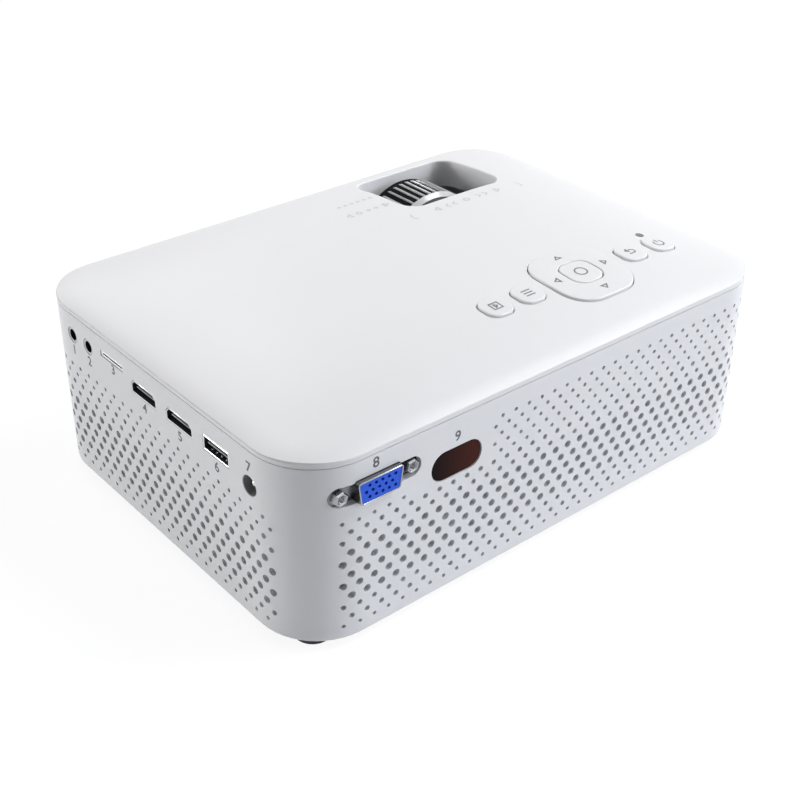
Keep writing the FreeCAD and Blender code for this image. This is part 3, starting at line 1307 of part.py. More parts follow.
def build_drive():
    """Slim tray-loading disc drive."""
    outer = box("drive_outer", ("-drive_width / 2", DRIVE_FRONT, BASE_TOP),
                ("drive_width", DRIVE_DEEP, "drive_tall - drive_metal"))
    inner = box(
        "drive_inner", ("-drive_width / 2 + drive_metal", f"{DRIVE_FRONT} - 1", DRIVE_FLOOR),
        ("drive_width - 2 * drive_metal", f"{DRIVE_DEEP} + 1 - drive_metal", "drive_tall"),
    )
    node("drive_chassis", cut("drive_chassis_cut", outer, [inner]))
    node("drive_lid", box("drive_lid_plate",
                          ("-drive_width / 2", DRIVE_FRONT, f"{BASE_TOP} + drive_tall - drive_metal"),
                          ("drive_width", DRIVE_DEEP, "drive_metal")))

    blank = box("tray_blank", (f"-{TRAY_HALF}", TRAY_FRONT, TRAY_LOW),
                (f"2 * {TRAY_HALF}", f"{TRAY_BACK} - {TRAY_FRONT}", "tray_thick"))
    recess = cylinder("tray_recess", ("0", "disc_place", f"{TRAY_TOP} - disc_recess"),
                      "disc_radius", "disc_recess + 1")
    hub_hole = cylinder("tray_hub_hole", ("0", "disc_place", f"{TRAY_LOW} - 1"),
                        "hub_flange_radius + hub_hole_gap", "tray_thick + 2")
    window = box("tray_window", ("-sled_window_wide / 2", "disc_place", f"{TRAY_LOW} - 1"),
                 ("sled_window_wide", f"{WINDOW_BACK} - disc_place", "tray_thick + 2"))
    node("disc_tray", cut("tray_cut", blank, [recess, hub_hole, window]))

    rails = []
    for number, low in enumerate((f"-{RAIL_OUTER}", f"{RAIL_OUTER} - rail_thick")):
        rails.append(box(
            f"rail_{number}", (low, f"{TRAY_FRONT} + 10", f"{TRAY_LOW} + (tray_thick - rail_tall) / 2"),
            ("rail_thick", "rail_length", "rail_tall"),
        ))
    node("tray_rails", group("rails_group", rails))

    plate_front = "(disc_place - hub_flange_radius - 4)"
    plate = box(
        "traverse_sheet", ("-sled_window_wide / 2 - 3", plate_front, f"{TRAY_LOW} - {PLATE_THICK}"),
        ("sled_window_wide + 6", f"{WINDOW_BACK} + 3 - {plate_front}", PLATE_THICK),
    )
    post = cylinder("spindle_post", ("0", "disc_place", f"{TRAY_LOW} - {PLATE_THICK} / 2"),
                    "2", f"tray_thick + {PLATE_THICK} / 2 - 1")
    pieces = [plate, post]
    rods = []
    rod_x = "(sled_wide / 2 - 3)"
    rod_z = f"({TRAY_LOW} + 0.3 + sled_thick / 2 - 0.2)"
    for sign in (-1, 1):
        side = "left" if sign < 0 else "right"
        for end, spot in (("front", f"({SLED_FRONT} - 2.4)"), ("back", f"({WINDOW_BACK} - 2)")):
            pieces.append(box(
                f"rod_block_{side}_{end}",
                (f"{sign} * {rod_x} - 1.6", spot, f"{TRAY_LOW} - {PLATE_THICK} / 2"),
                ("3.2", "2", f"{PLATE_THICK} / 2 + sled_thick"),
            ))
        rods.append(cylinder(
            f"rod_{side}", (f"{sign} * {rod_x}", f"{SLED_FRONT} - 0.4", rod_z),
            "rod_radius", f"{WINDOW_BACK} - 2 - {SLED_FRONT} + 0.4", "Y",
        ))
    node("traverse_plate", fuse("traverse_solid", pieces))
    node("guide_rods", group("rods_group", rods))

    hub_low = f"({TRAY_LOW} + 0.3)"
    flange = cylinder("hub_flange", ("0", "disc_place", hub_low), "hub_flange_radius", "1.4")
    nose = cylinder("hub_nose", ("0", "disc_place", hub_low), "hub_radius", "tray_thick - 0.4")
    bore = cylinder("hub_bore", ("0", "disc_place", f"{hub_low} - 1"), "2 + rod_clearance", "tray_thick + 3")
    node("spindle_hub", cut("hub_cut", fuse("hub_blank", [flange, nose]), [bore]))

    block = box("sled_block", ("-sled_wide / 2", SLED_FRONT, f"{TRAY_LOW} + 0.3"),
                ("sled_wide", "sled_long", "sled_thick - 0.4"))
    holes = [
        cylinder(f"sled_hole_{sign + 1}", (f"{sign} * {rod_x}", f"{SLED_FRONT} - 1", rod_z),
                 "rod_radius + rod_clearance", "sled_long + 2", "Y")
        for sign in (-1, 1)
    ]
    lens = cylinder("pickup_lens", ("0", f"{SLED_FRONT} + sled_long / 2", f"{TRAY_LOW} + sled_thick - 0.4"),
                    "2.4", "0.8")
    node("pickup_sled", fuse("sled_solid", [cut("sled_cut", block, holes), lens]))

    bezel_low = f"({BASE_TOP} + 2 * bezel_gap)"
    bezel_tall = "(drive_tall - 2 * bezel_gap)"
    bezel = rounded(
        "bezel_blank", ("-drive_width / 2", f"-({BACK} + bezel_proud)", bezel_low),
        ("drive_width", f"{BACK} + bezel_proud + {TRAY_FRONT}", bezel_tall), "1", "Y",
    )
    eject_z = f"({bezel_low} + {bezel_tall} / 2)"
    hole = box("eject_hole", ("eject_place - eject_width / 2 - eject_gap", f"-({BACK} + 2)",
                              f"{eject_z} - eject_tall / 2 - eject_gap"),
               ("eject_width + 2 * eject_gap", "wall_thickness + 4", "eject_tall + 2 * eject_gap"))
    node("tray_bezel", cut("bezel_cut", bezel, [hole]))
    node("eject_button", rounded(
        "eject_block",
        ("eject_place - eject_width / 2", f"-({BACK} + bezel_proud + 0.4)", f"{eject_z} - eject_tall / 2"),
        ("eject_width", "wall_thickness", "eject_tall"), "0.8", "Y",
    ))


skin = made("cover_skin", crown_solid(0.0))
lining = made("cover_lining", crown_solid(-value("cover_wall")))
raised_skin = made("key_skin", crown_solid(value("key_rise")))

build_feet_and_base()
build_shell()
build_cover(skin, lining)
build_keys(raised_skin)
build_lens()
build_deck()
build_engine()
build_power_board()
build_fan()
build_speaker()
build_main_board()
build_side_sockets()
build_back_sockets()
build_drive()

doc.recompute()

faults = []
for thing in doc.Objects:
    if "Invalid" in thing.State or "Error" in thing.State:
        faults.append(f"{thing.Name}: {thing.State}")
for name, thing in NODES.items():
    shape = thing.Shape
    if shape.isNull() or not shape.isValid() or not shape.Solids:
        faults.append(f"{name}: no valid solid")
if faults:
    raise RuntimeError("; ".join(faults))

os.makedirs("parts", exist_ok=True)
for name, thing in NODES.items():
    thing.Shape.exportStep(f"parts/{name}.step")
print(f"{len(NODES)} sub-parts written")
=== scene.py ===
"""Looks of a compact video projector with a slim disc drive.

Units are metres in the part's own frame: +Z up, lens and disc tray towards -Y,
sockets towards +X, analog socket and remote window towards +Y.
"""
from __future__ import annotations

import logging
import math
from dataclasses import dataclass, field
from enum import Enum
from typing import Callable, Sequence

import bpy
from mathutils import Matrix, Vector
from mathutils.geometry import delaunay_2d_cdt

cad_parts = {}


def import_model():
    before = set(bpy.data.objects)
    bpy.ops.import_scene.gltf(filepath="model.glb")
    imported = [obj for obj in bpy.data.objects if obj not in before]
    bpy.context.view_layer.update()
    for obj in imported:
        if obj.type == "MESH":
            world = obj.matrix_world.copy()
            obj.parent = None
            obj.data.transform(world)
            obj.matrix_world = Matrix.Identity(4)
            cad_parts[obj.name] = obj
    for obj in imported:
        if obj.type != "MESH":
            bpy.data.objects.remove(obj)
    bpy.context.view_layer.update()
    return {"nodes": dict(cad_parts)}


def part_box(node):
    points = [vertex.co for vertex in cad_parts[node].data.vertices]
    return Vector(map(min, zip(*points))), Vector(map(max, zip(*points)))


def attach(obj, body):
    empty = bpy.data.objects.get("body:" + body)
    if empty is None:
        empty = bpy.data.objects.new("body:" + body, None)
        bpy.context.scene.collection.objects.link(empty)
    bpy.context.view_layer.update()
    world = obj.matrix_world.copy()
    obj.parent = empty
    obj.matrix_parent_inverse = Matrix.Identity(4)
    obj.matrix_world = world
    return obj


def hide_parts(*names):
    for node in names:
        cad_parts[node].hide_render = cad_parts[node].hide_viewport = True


LOG = logging.getLogger("projector")
MM = 0.001
Point = tuple[float, float]
Value = "float | tuple | Wire | bpy.types.NodeSocket"


# ---------------------------------------------------------------- node graphs


class Wire:
    """A value in a node graph that takes part in Python arithmetic."""

    def __init__(self, graph: Graph, socket: bpy.types.NodeSocket) -> None:
        """Wrap an output socket of a graph."""
        self.graph = graph
        self.socket = socket

    def __add__(self, other: Value) -> Wire:
        """Sum of this and another value."""
        return self.graph.math("ADD", self, other)

    def __radd__(self, other: Value) -> Wire:
        """Sum of another value and this."""
        return self.graph.math("ADD", other, self)

    def __sub__(self, other: Value) -> Wire:
        """This less another value."""
        return self.graph.math("SUBTRACT", self, other)

    def __rsub__(self, other: Value) -> Wire:
        """Another value less this."""
        return self.graph.math("SUBTRACT", other, self)

    def __mul__(self, other: Value) -> Wire:
        """Product of this and another value."""
        return self.graph.math("MULTIPLY", self, other)

    def __rmul__(self, other: Value) -> Wire:
        """Product of another value and this."""
        return self.graph.math("MULTIPLY", other, self)

    def __truediv__(self, other: Value) -> Wire:
        """This divided by another value."""
        return self.graph.math("DIVIDE", self, other)

    def __lt__(self, other: Value) -> Wire:
        """1 where this is below another value, else 0."""
        return self.graph.math("LESS_THAN", self, other)

    def __gt__(self, other: Value) -> Wire:
        """1 where this is above another value, else 0."""
        return self.graph.math("GREATER_THAN", self, other)

    def __abs__(self) -> Wire:
        """Size of this without its sign."""
        return self.graph.math("ABSOLUTE", self)


class Graph:
    """Adds nodes to one node tree."""

    def __init__(self, tree: bpy.types.NodeTree) -> None:
        """Wrap a tree, shader or geometry."""
        self.tree = tree

    def node(self, kind: str, settings: dict | None = None, inputs: dict | None = None) -> bpy.types.Node:
        """Add a node.

        Args:
            kind: the node's type name.
            settings: attributes set before anything else; "stops" fills a colour ramp.
            inputs: values or links by socket name or number.

        Returns:
            The new node.
        """
        made = self.tree.nodes.new(kind)
        for name, setting in (settings or {}).items():
            if name == "stops":
                self._fill_ramp(made.color_ramp, setting)
            else:
                setattr(made, name, setting)
        for key, value in (inputs or {}).items():
            socket = made.inputs[key]
            if isinstance(value, Wire):
                self.tree.links.new(value.socket, socket)
            elif isinstance(value, bpy.types.NodeSocket):
                self.tree.links.new(value, socket)
            else:
                socket.default_value = value
        return made

    @staticmethod
    def _fill_ramp(ramp: bpy.types.ColorRamp, stops: Sequence[tuple[float, tuple]]) -> None:
        """Give a colour ramp its stops."""
        while len(ramp.elements) < len(stops):
            ramp.elements.new(0.5)
        for element, (place, colour) in zip(ramp.elements, stops):
            element.position = place
            element.color = colour

    def out(self, node: bpy.types.Node, name: str | int = 0) -> Wire:
        """An output of a node as a wire."""
        return Wire(self, node.outputs[name])

    def math(self, operation: str, *values: Value) -> Wire:
        """A Math node on one to three values."""
        return self.out(self.node("ShaderNodeMath", {"operation": operation}, dict(enumerate(values))))

    def clamp(self, value: Value, low: float, high: float) -> Wire:
        """A value held between two limits."""
        return self.math("MINIMUM", self.math("MAXIMUM", value, low), high)


# ------------------------------------------------------------------- finishes


class Grain(Enum):
    """How a surface is broken up, as a noise scale per metre and a height in metres."""

    SPARK = (1400.0, 0.000012)
    SATIN = (2600.0, 0.000004)
    BRUSHED = (3800.0, 0.000003)
    ROUGH = (700.0, 0.00004)
    POLISHED = (400.0, 0.000001)


class Finish:
    """Base of every finish: makes its material once and hands it out."""

    _made: dict[str, bpy.types.Material] = {}
    name: str

    def material(self) -> bpy.types.Material:
        """The finish as a material."""
        if self.name not in Finish._made:
            made = bpy.data.materials.new(self.name)
            made.use_nodes = True
            made.node_tree.nodes.clear()
            graph = Graph(made.node_tree)
            surface = self.surface(graph)
            graph.node("ShaderNodeOutputMaterial", None, {"Surface": surface})
            Finish._made[self.name] = made
        return Finish._made[self.name]

    def surface(self, graph: Graph) -> Wire:
        """The finish's shader output."""
        raise NotImplementedError


def object_place(graph: Graph, stretch: tuple[float, float, float] = (1, 1, 1)) -> Wire:
    """Object coordinates, stretched."""
    place = graph.node("ShaderNodeTexCoord").outputs["Object"]
    mapping = graph.node("ShaderNodeMapping", None, {"Vector": place, "Scale": stretch})
    return graph.out(mapping)


def noise(graph: Graph, place: Wire, scale: float, detail: float = 2.0) -> Wire:
    """A noise value from 0 to 1 over the surface."""
    return graph.out(graph.node("ShaderNodeTexNoise", None, {"Vector": place, "Scale": scale, "Detail": detail}))


def blend_colour(graph: Graph, mask: Wire, first: tuple, second: tuple) -> Wire:
    """A colour between two, by a mask."""
    mix = graph.node("ShaderNodeMix", {"data_type": "RGBA"}, {0: mask, 6: (*first, 1), 7: (*second, 1)})
    return graph.out(mix, 2)


@dataclass(frozen=True)
class Plastic(Finish):
    """Moulded plastic with a fine surface grain and slight unevenness of colour."""

    name: str
    colour: tuple[float, float, float]
    roughness: float = 0.4
    grain: Grain = Grain.SPARK
    coat: float = 0.0
    unevenness: float = 0.02
    specular: float = 0.5

    def surface(self, graph: Graph) -> Wire:
        """Principled plastic with grain in its normal and drift in its gloss."""
        place = object_place(graph)
        drift = noise(graph, place, 28.0, 3.0)
        dark = tuple(part * (1 - self.unevenness) for part in self.colour)
        scale, height = self.grain.value
        texture = noise(graph, place, scale, 2.0)
        bump = graph.node("ShaderNodeBump", None, {"Height": texture, "Distance": height, "Strength": 0.6})
        gloss = drift * 0.1 + (texture * 0.04 + (self.roughness - 0.07))
        return graph.out(graph.node("ShaderNodeBsdfPrincipled", None, {
            "Base Color": blend_colour(graph, drift, dark, self.colour),
            "Roughness": gloss,
            "Coat Weight": self.coat,
            "Specular IOR Level": self.specular,
            "Normal": bump.outputs[0],
        }))


@dataclass(frozen=True)
class Metal(Finish):
    """Sheet, turned or cast metal with fine lines along one axis."""

    name: str
    colour: tuple[float, float, float]
    roughness: float = 0.3
    stretch: tuple[float, float, float] = (1.0, 1.0, 1.0)
    tarnish: float = 0.12

    def surface(self, graph: Graph) -> Wire:
        """Principled metal with drawn lines and faint tarnish."""
        scale, height = Grain.BRUSHED.value
        lines = noise(graph, object_place(graph, self.stretch), scale, 3.0)
        cloud = noise(graph, object_place(graph), 160.0, 2.0)
        dark = tuple(part * (1 - self.tarnish) for part in self.colour)
        bump = graph.node("ShaderNodeBump", None, {"Height": lines, "Distance": height, "Strength": 0.5})
        return graph.out(graph.node("ShaderNodeBsdfPrincipled", None, {
            "Base Color": blend_colour(graph, cloud, dark, self.colour),
            "Metallic": 1.0,
            "Roughness": lines * 0.16 + (self.roughness - 0.08),
            "Normal": bump.outputs[0],
        }))


@dataclass(frozen=True)
class Glass(Finish):
    """Clear or tinted optical plastic or glass."""

    name: str
    colour: tuple[float, float, float]
    roughness: float = 0.03
    clear: float = 0.9

    def surface(self, graph: Graph) -> Wire:
        """Transmitting shader with a faint drift of its tint."""
        cloud = noise(graph, object_place(graph), 90.0, 1.0)
        dark = tuple(part * 0.96 for part in self.colour)
        return graph.out(graph.node("ShaderNodeBsdfPrincipled", None, {
            "Base Color": blend_colour(graph, cloud, dark, self.colour),
            "Roughness": cloud * 0.02 + self.roughness,
            "Transmission Weight": self.clear,
            "IOR": 1.5,
            "Coat Weight": 0.4,
        }))


@dataclass(frozen=True)
class Filter(Finish):
    """Deep coloured infrared filter: nearly black, with a maroon painted highlight across part of it."""

    name: str
    deep: tuple[float, float, float]
    # tint of the painted highlight
    glow: tuple[float, float, float]
    middle: float
    spread: float

    def surface(self, graph: Graph) -> Wire:
        """Glossy pane with a painted highlight: maroon towards one end, nearly black towards the other."""
        place = graph.node("ShaderNodeTexCoord").outputs["Object"]
        across = graph.out(graph.node("ShaderNodeSeparateXYZ", None, {0: place}), 0)
        # painted highlight: the base colour runs from deep to glow across the pane
        mask = graph.clamp((self.middle - across) / self.spread + 0.5, 0.0, 1.0)
        cloud = noise(graph, object_place(graph), 120.0, 2.0)
        return graph.out(graph.node("ShaderNodeBsdfPrincipled", None, {
            "Base Color": blend_colour(graph, mask, self.deep, self.glow),
            "Roughness": cloud * 0.05 + 0.16,
            "Specular IOR Level": 0.04,
        }))


@dataclass(frozen=True)
class Board(Finish):
    """Solder-masked circuit board with a hint of its copper tracks."""

    name: str
    mask: tuple[float, float, float]
    track: tuple[float, float, float]

    def surface(self, graph: Graph) -> Wire:
        """Principled lacquer over square-cornered tracks."""
        place = object_place(graph)
        cells = graph.node(
            "ShaderNodeTexVoronoi", {"distance": "CHEBYCHEV", "feature": "F1"},
            {"Vector": place, "Scale": 420.0},
        )
        lines = graph.clamp((graph.out(cells, "Distance") - 0.34) * 12.0, 0.0, 1.0)
        bump = graph.node("ShaderNodeBump", None, {"Height": lines, "Distance": 0.00003, "Strength": 0.5})
        return graph.out(graph.node("ShaderNodeBsdfPrincipled", None, {
            "Base Color": blend_colour(graph, lines, self.mask, self.track),
            "Roughness": 0.36 + noise(graph, place, 200.0) * 0.1,
            "Normal": bump.outputs[0],
        }))


WHITE_CASE = Plastic("white_case", (0.80, 0.81, 0.83), 0.42, Grain.SPARK, unevenness=0.012)
WHITE_COVER = Plastic("white_cover", (0.83, 0.83, 0.84), 0.36, Grain.SATIN, unevenness=0.01)
WHITE_KEY = Plastic("white_key", (0.83, 0.83, 0.84), 0.34, Grain.SATIN, unevenness=0.01)
GREY_INK = Plastic("grey_ink", (0.17, 0.175, 0.19), 0.5, Grain.SATIN)
LABEL_INK = Plastic("label_ink", (0.13, 0.135, 0.15), 0.5, Grain.SATIN)
DARK_DOT = Plastic("indicator_tint", (0.10, 0.10, 0.11), 0.25, Grain.POLISHED, coat=0.5)
DARK_PLASTIC = Plastic("dark_moulding", (0.055, 0.056, 0.06), 0.45, Grain.SPARK)
DECK_PLASTIC = Plastic("grey_moulding", (0.30, 0.30, 0.32), 0.5, Grain.SPARK)
# painted highlight: light grey given to the black focus ring's ribs and bevel
RING_HIGHLIGHT_GREY = Plastic("ring_painted_highlight", (0.62, 0.63, 0.65), 0.22, Grain.POLISHED, coat=0.6)
# near black: the jacks' own dark moulding, and painted shade as linings inside the plated sockets and behind the card
# slot
BLACK_MOULDING_AND_HOLLOW_SHADE = Plastic("jack_moulding_and_hollow_shade", (0.012, 0.012, 0.013), 0.6, Grain.SATIN, specular=0.1)
BLUE_PLASTIC = Plastic("blue_insulator", (0.028, 0.125, 0.78), 0.42, Grain.SATIN, specular=0.2)
GREY_RIM = Plastic("grey_jack_rim", (0.66, 0.66, 0.68), 0.4, Grain.SATIN)
INLET_GREY = Plastic("inlet_moulding", (0.27, 0.27, 0.28), 0.45, Grain.SATIN, specular=0.3)
COLLAR_GREY = Plastic("collar_grey", (0.045, 0.045, 0.047), 0.25, Grain.POLISHED)
TONGUE_PLASTIC = Plastic("tongue_moulding", (0.45, 0.45, 0.46), 0.35, Grain.SATIN)
RING_BLACK = Plastic("ring_black", (0.003, 0.003, 0.0035), 0.6, Grain.SATIN, specular=0.04)
# painted shade: deep blue for the bottoms of the analog socket's contact holes
HOLE_SHADE_BLUE = Plastic("contact_shadow", (0.006, 0.02, 0.13), 0.5, Grain.SATIN)
# painted shade: mid grey standing in for the shade of the cover marks' relief
MARK_RELIEF_SHADE = Plastic("moulded_mark_painted_shade", (0.62, 0.62, 0.64), 0.4, Grain.SATIN)
CLEAR_PIPE = Plastic("milky_moulding", (0.72, 0.72, 0.74), 0.3, Grain.POLISHED)
FOOT_RUBBER = Plastic("foot_rubber", (0.035, 0.035, 0.037), 0.8, Grain.ROUGH)
CONE_PAPER = Plastic("cone_paper", (0.03, 0.03, 0.03), 0.85, Grain.ROUGH)
BRIGHT_METAL = Metal("bright_plating", (0.74, 0.75, 0.77), 0.24)
# painted shade: a dark copy of the plating for the analog socket's flange and shell in their pocket
PLATING_PAINTED_SHADE = Metal("plating_painted_shade", (0.20, 0.205, 0.22), 0.26)
SCREW_METAL = Metal("screw_plating", (0.38, 0.39, 0.41), 0.16)
SHEET_STEEL = Metal("sheet_steel", (0.58, 0.59, 0.61), 0.38, (1.0, 24.0, 1.0))
BLACK_STEEL = Metal("black_steel", (0.05, 0.05, 0.052), 0.42)
ALUMINIUM = Metal("extruded_aluminium", (0.70, 0.71, 0.73), 0.36, (1.0, 1.0, 0.05))
BRASS = Metal("turned_brass", (0.70, 0.53, 0.24), 0.28, (1.0, 1.0, 12.0))
GOLD = Metal("gold_contacts", (0.85, 0.62, 0.25), 0.25)
MIRROR = Metal("mirror_coating", (0.93, 0.94, 0.95), 0.09, tarnish=0.03)
LENS_GLASS = Glass("coated_glass", (0.93, 0.96, 0.97))
FRESNEL = Glass("clear_acrylic", (0.92, 0.94, 0.95), 0.12)
# glow is the tint of a painted highlight across the pane; deep is the pane's own colour
RED_FILTER = Filter("infrared_filter_painted_highlight", (0.004, 0.003, 0.004), (0.060, 0.014, 0.010), 0.0445, 0.016)
GREEN_BOARD = Board("green_board", (0.012, 0.085, 0.035), (0.03, 0.16, 0.06))

NODE_FINISHES: dict[Finish, tuple[str, ...]] = {
    WHITE_CASE: ("base_plate", "tray_bezel"),
    WHITE_KEY: ("eject_button",),
    FOOT_RUBBER: ("rubber_feet",),
    BLACK_STEEL: ("case_screws", "speaker_frame"),
    BRASS: ("tripod_insert",),
    DECK_PLASTIC: ("deck", "pickup_sled"),
    DARK_PLASTIC: (
        "lens_sleeve", "lens_barrel", "element_clamp", "engine_case", "engine_lid", "panel_frame",
        "condenser_holder", "fan_frame", "fan_impeller", "nav_gimbal", "disc_tray", "spindle_hub",
        "lens_trim",
    ),
    LENS_GLASS: ("lens_elements", "condenser_lens", "image_panel"),
    FRESNEL: ("fresnel_lenses",),
    MIRROR: ("fold_mirror",),
    ALUMINIUM: ("heat_sink", "lamp_board"),
    GREEN_BOARD: ("main_board", "key_board", "power_board"),
    CONE_PAPER: ("speaker_cone",),
    DARK_DOT: ("indicator_light",),
    BRIGHT_METAL: ("card_socket", "guide_rods"),
    SHEET_STEEL: ("drive_chassis", "drive_lid", "tray_rails", "traverse_plate"),
}


# --------------------------------------------------------------- mesh helpers


def rounded_loop(half_x: float, half_y: float, radius: float, steps: int = 8,
                 cuts_x: int = 1, cuts_y: int = 1) -> list[Point]:
    """Points of a rounded rectangle about the origin, anticlockwise.

    Args:
        half_x: half the width.
        half_y: half the depth.
        radius: corner radius.
        steps: steps in each corner.
        cuts_x: steps along each side that runs in X.
        cuts_y: steps along each side that runs in Y.

    Returns:
        The points, from the +X side's lower end.
    """
    inner_x = half_x - radius
    inner_y = half_y - radius
    corners = [(inner_x, inner_y, 0.0), (-inner_x, inner_y, 0.5), (-inner_x, -inner_y, 1.0), (inner_x, -inner_y, 1.5)]
    points: list[Point] = []
    previous = (half_x, -inner_y)
    for number, (middle_x, middle_y, turn) in enumerate(corners):
        start = (middle_x + radius * math.cos(turn * math.pi), middle_y + radius * math.sin(turn * math.pi))
        cuts = cuts_y if number % 2 == 0 else cuts_x
        for cut in range(cuts):
            share = cut / cuts
            points.append((previous[0] + (start[0] - previous[0]) * share,
                           previous[1] + (start[1] - previous[1]) * share))
        for step in range(steps):
            angle = (turn + 0.5 * step / steps) * math.pi
            points.append((middle_x + radius * math.cos(angle), middle_y + radius * math.sin(angle)))
        angle = (turn + 0.5) * math.pi
        previous = (middle_x + radius * math.cos(angle), middle_y + radius * math.sin(angle))
    return points


def circle_loop(radius: float, steps: int) -> list[Point]:
    """Points of a circle about the origin, anticlockwise."""
    return [(radius * math.cos(2 * math.pi * step / steps), radius * math.sin(2 * math.pi * step / steps))
            for step in range(steps)]


def shifted(loop: Sequence[Point], across: float, along: float) -> list[Point]:
    """A loop moved in its plane."""
    return [(x + across, y + along) for x, y in loop]


@dataclass
class Sculpt:
    """A mesh in the making."""

    verts: list[tuple[float, float, float]] = field(default_factory=list)
    faces: list[tuple[int, ...]] = field(default_factory=list)

    def ring(self, points: Sequence[Sequence[float]]) -> list[int]:
        """Add a ring of points and return their numbers."""
        start = len(self.verts)
        self.verts.extend(tuple(point) for point in points)
        return list(range(start, len(self.verts)))

    def bridge(self, low: Sequence[int], high: Sequence[int], closed: bool = True) -> None:
        """Join two rings of equal length with quads."""
        count = len(low)
        for step in range(count if closed else count - 1):
            after = (step + 1) % count
            self.faces.append((low[step], low[after], high[after], high[step]))

    def loft(self, rings: Sequence[Sequence[Sequence[float]]], cap_start: bool = True, cap_end: bool = True) -> None:
        """Join a stack of rings and close its ends."""
        numbers = [self.ring(points) for points in rings]
        for low, high in zip(numbers, numbers[1:]):
            self.bridge(low, high)
        if cap_start:
            self.faces.append(tuple(reversed(numbers[0])))
        if cap_end:
            self.faces.append(tuple(numbers[-1]))

    def object(self, name: str, smooth_angle: float = 35.0) -> bpy.types.Object:
        """Turn the sculpt into an object with smooth shading up to an angle."""
        mesh = bpy.data.meshes.new(name)
        mesh.from_pydata(self.verts, [], self.faces)
        mesh.validate()
        return wrap_mesh(name, mesh, smooth_angle)


def wrap_mesh(name: str, mesh: bpy.types.Mesh, smooth_angle: float = 35.0) -> bpy.types.Object:
    """Put a mesh in the scene as an object with smooth shading up to an angle."""
    mesh.name = name
    mesh.shade_smooth()
    mesh.set_sharp_from_angle(angle=math.radians(smooth_angle))
    made = bpy.data.objects.new(name, mesh)
    bpy.context.scene.collection.objects.link(made)
    return made


def evaluated_mesh(thing: bpy.types.Object) -> bpy.types.Mesh:
    """The mesh of an object with its modifiers applied."""
    bpy.context.view_layer.update()
    graph = bpy.context.evaluated_depsgraph_get()
    return bpy.data.meshes.new_from_object(thing.evaluated_get(graph), depsgraph=graph)


def settle(thing: bpy.types.Object, smooth_angle: float = 35.0) -> bpy.types.Object:
    """Replace an object's mesh by its evaluated one and drop its modifiers."""
    mesh = evaluated_mesh(thing)
    thing.modifiers.clear()
    thing.data = mesh
    mesh.name = thing.name
    mesh.set_sharp_from_angle(angle=math.radians(smooth_angle))
    return thing


def carve(thing: bpy.types.Object, cutters: Sequence[bpy.types.Object]) -> bpy.types.Object:
    """Take cutters away from an object, then delete them."""
    for cutter in cutters:
        modifier = thing.modifiers.new("cut", "BOOLEAN")
        modifier.operation = "DIFFERENCE"
        modifier.solver = "EXACT"
        modifier.object = cutter
    settle(thing)
    for cutter in cutters:
        bpy.data.objects.remove(cutter)
    return thing


def joined(name: str, things: Sequence[bpy.types.Object]) -> bpy.types.Object:
    """Several objects as one, in one mesh."""
    sculpt = Sculpt()
    materials = []
    for thing in things:
        start = len(sculpt.verts)
        sculpt.verts.extend(tuple(vertex.co) for vertex in thing.data.vertices)
        sculpt.faces.extend(tuple(start + corner for corner in face.vertices) for face in thing.data.polygons)
        materials.extend(thing.data.materials)
    for thing in things:
        bpy.data.objects.remove(thing)
    return sculpt.object(name)


def dress(thing: bpy.types.Object, finish: Finish, body: str, replaces: Sequence[str] = ()) -> None:
    """Give a finished piece its finish, its body and the nodes that it stands for."""
    thing.data.materials.clear()
    thing.data.materials.append(finish.material())
    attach(thing, body)
    if replaces:
        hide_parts(*replaces)
    LOG.info("%s: %d faces on %s", thing.name, len(thing.data.polygons), body)


def triangulate(outer: Sequence[Point], holes: Sequence[Sequence[Point]], inner: Sequence[Point],
                keep: Callable[[float, float], bool]) -> list[tuple[int, int, int]]:
    """Triangles over a region with holes.

    Args:
        outer: the outer loop.
        holes: loops of the holes.
        inner: free points inside.
        keep: tells whether a point of the plane is in the region.

    Returns:
        Triangles, anticlockwise, numbered over outer, then holes, then inner.
    """
    points = [Vector(point) for point in outer]
    edges = [(step, (step + 1) % len(outer)) for step in range(len(outer))]
    for hole in holes:
        start = len(points)
        points += [Vector(point) for point in hole]
        edges += [(start + step, start + (step + 1) % len(hole)) for step in range(len(hole))]
    points += [Vector(point) for point in inner]
    _, _, faces, sources, _, _ = delaunay_2d_cdt(points, edges, [], 0, 1e-9)
    triangles = []
    for face in faces:
        corners = tuple(sources[number][0] for number in face)
        middle = sum((points[number] for number in corners), Vector((0.0, 0.0))) / 3
        if not keep(middle.x, middle.y):
            continue
        first, second, third = (points[number] for number in corners)
        turn = (second - first).cross(third - first)
        triangles.append(corners if turn > 0 else tuple(reversed(corners)))
    return triangles


# ----------------------------------------------------------------------- case


@dataclass(frozen=True)
class CaseForm:
    """Outer form of the case that its pieces share."""

    half_x: float = 98.97 * MM
    half_y: float = 73.0 * MM
    radius: float = 21.0 * MM
    bottom: float = 3.0 * MM
    seam: float = 63.2 * MM
    lip_top: float = 63.5 * MM
    lip_inset: float = 0.4 * MM
    cover_edge: float = 65.6 * MM
    crown_rise: float = 5.5 * MM
    crown_reach: float = 60.0 * MM
    wall: float = 2.2 * MM

    @property
    def quarter(self) -> float:
        """Length of a quarter of the outline, from mid-front to mid-side."""
        return self.half_x + self.half_y - 2 * self.radius + math.pi / 2 * self.radius

    def crown(self, across: float, along: float) -> float:
        """Height of the cover's skin over a point of the plan."""
        side = max(0.0, (abs(across) - self.half_x + self.crown_reach) / self.crown_reach)
        back = max(0.0, (abs(along) - self.half_y + self.crown_reach) / self.crown_reach)
        return self.cover_edge + self.crown_rise * (1 - side ** 3) * (1 - back ** 3)


CASE = CaseForm()


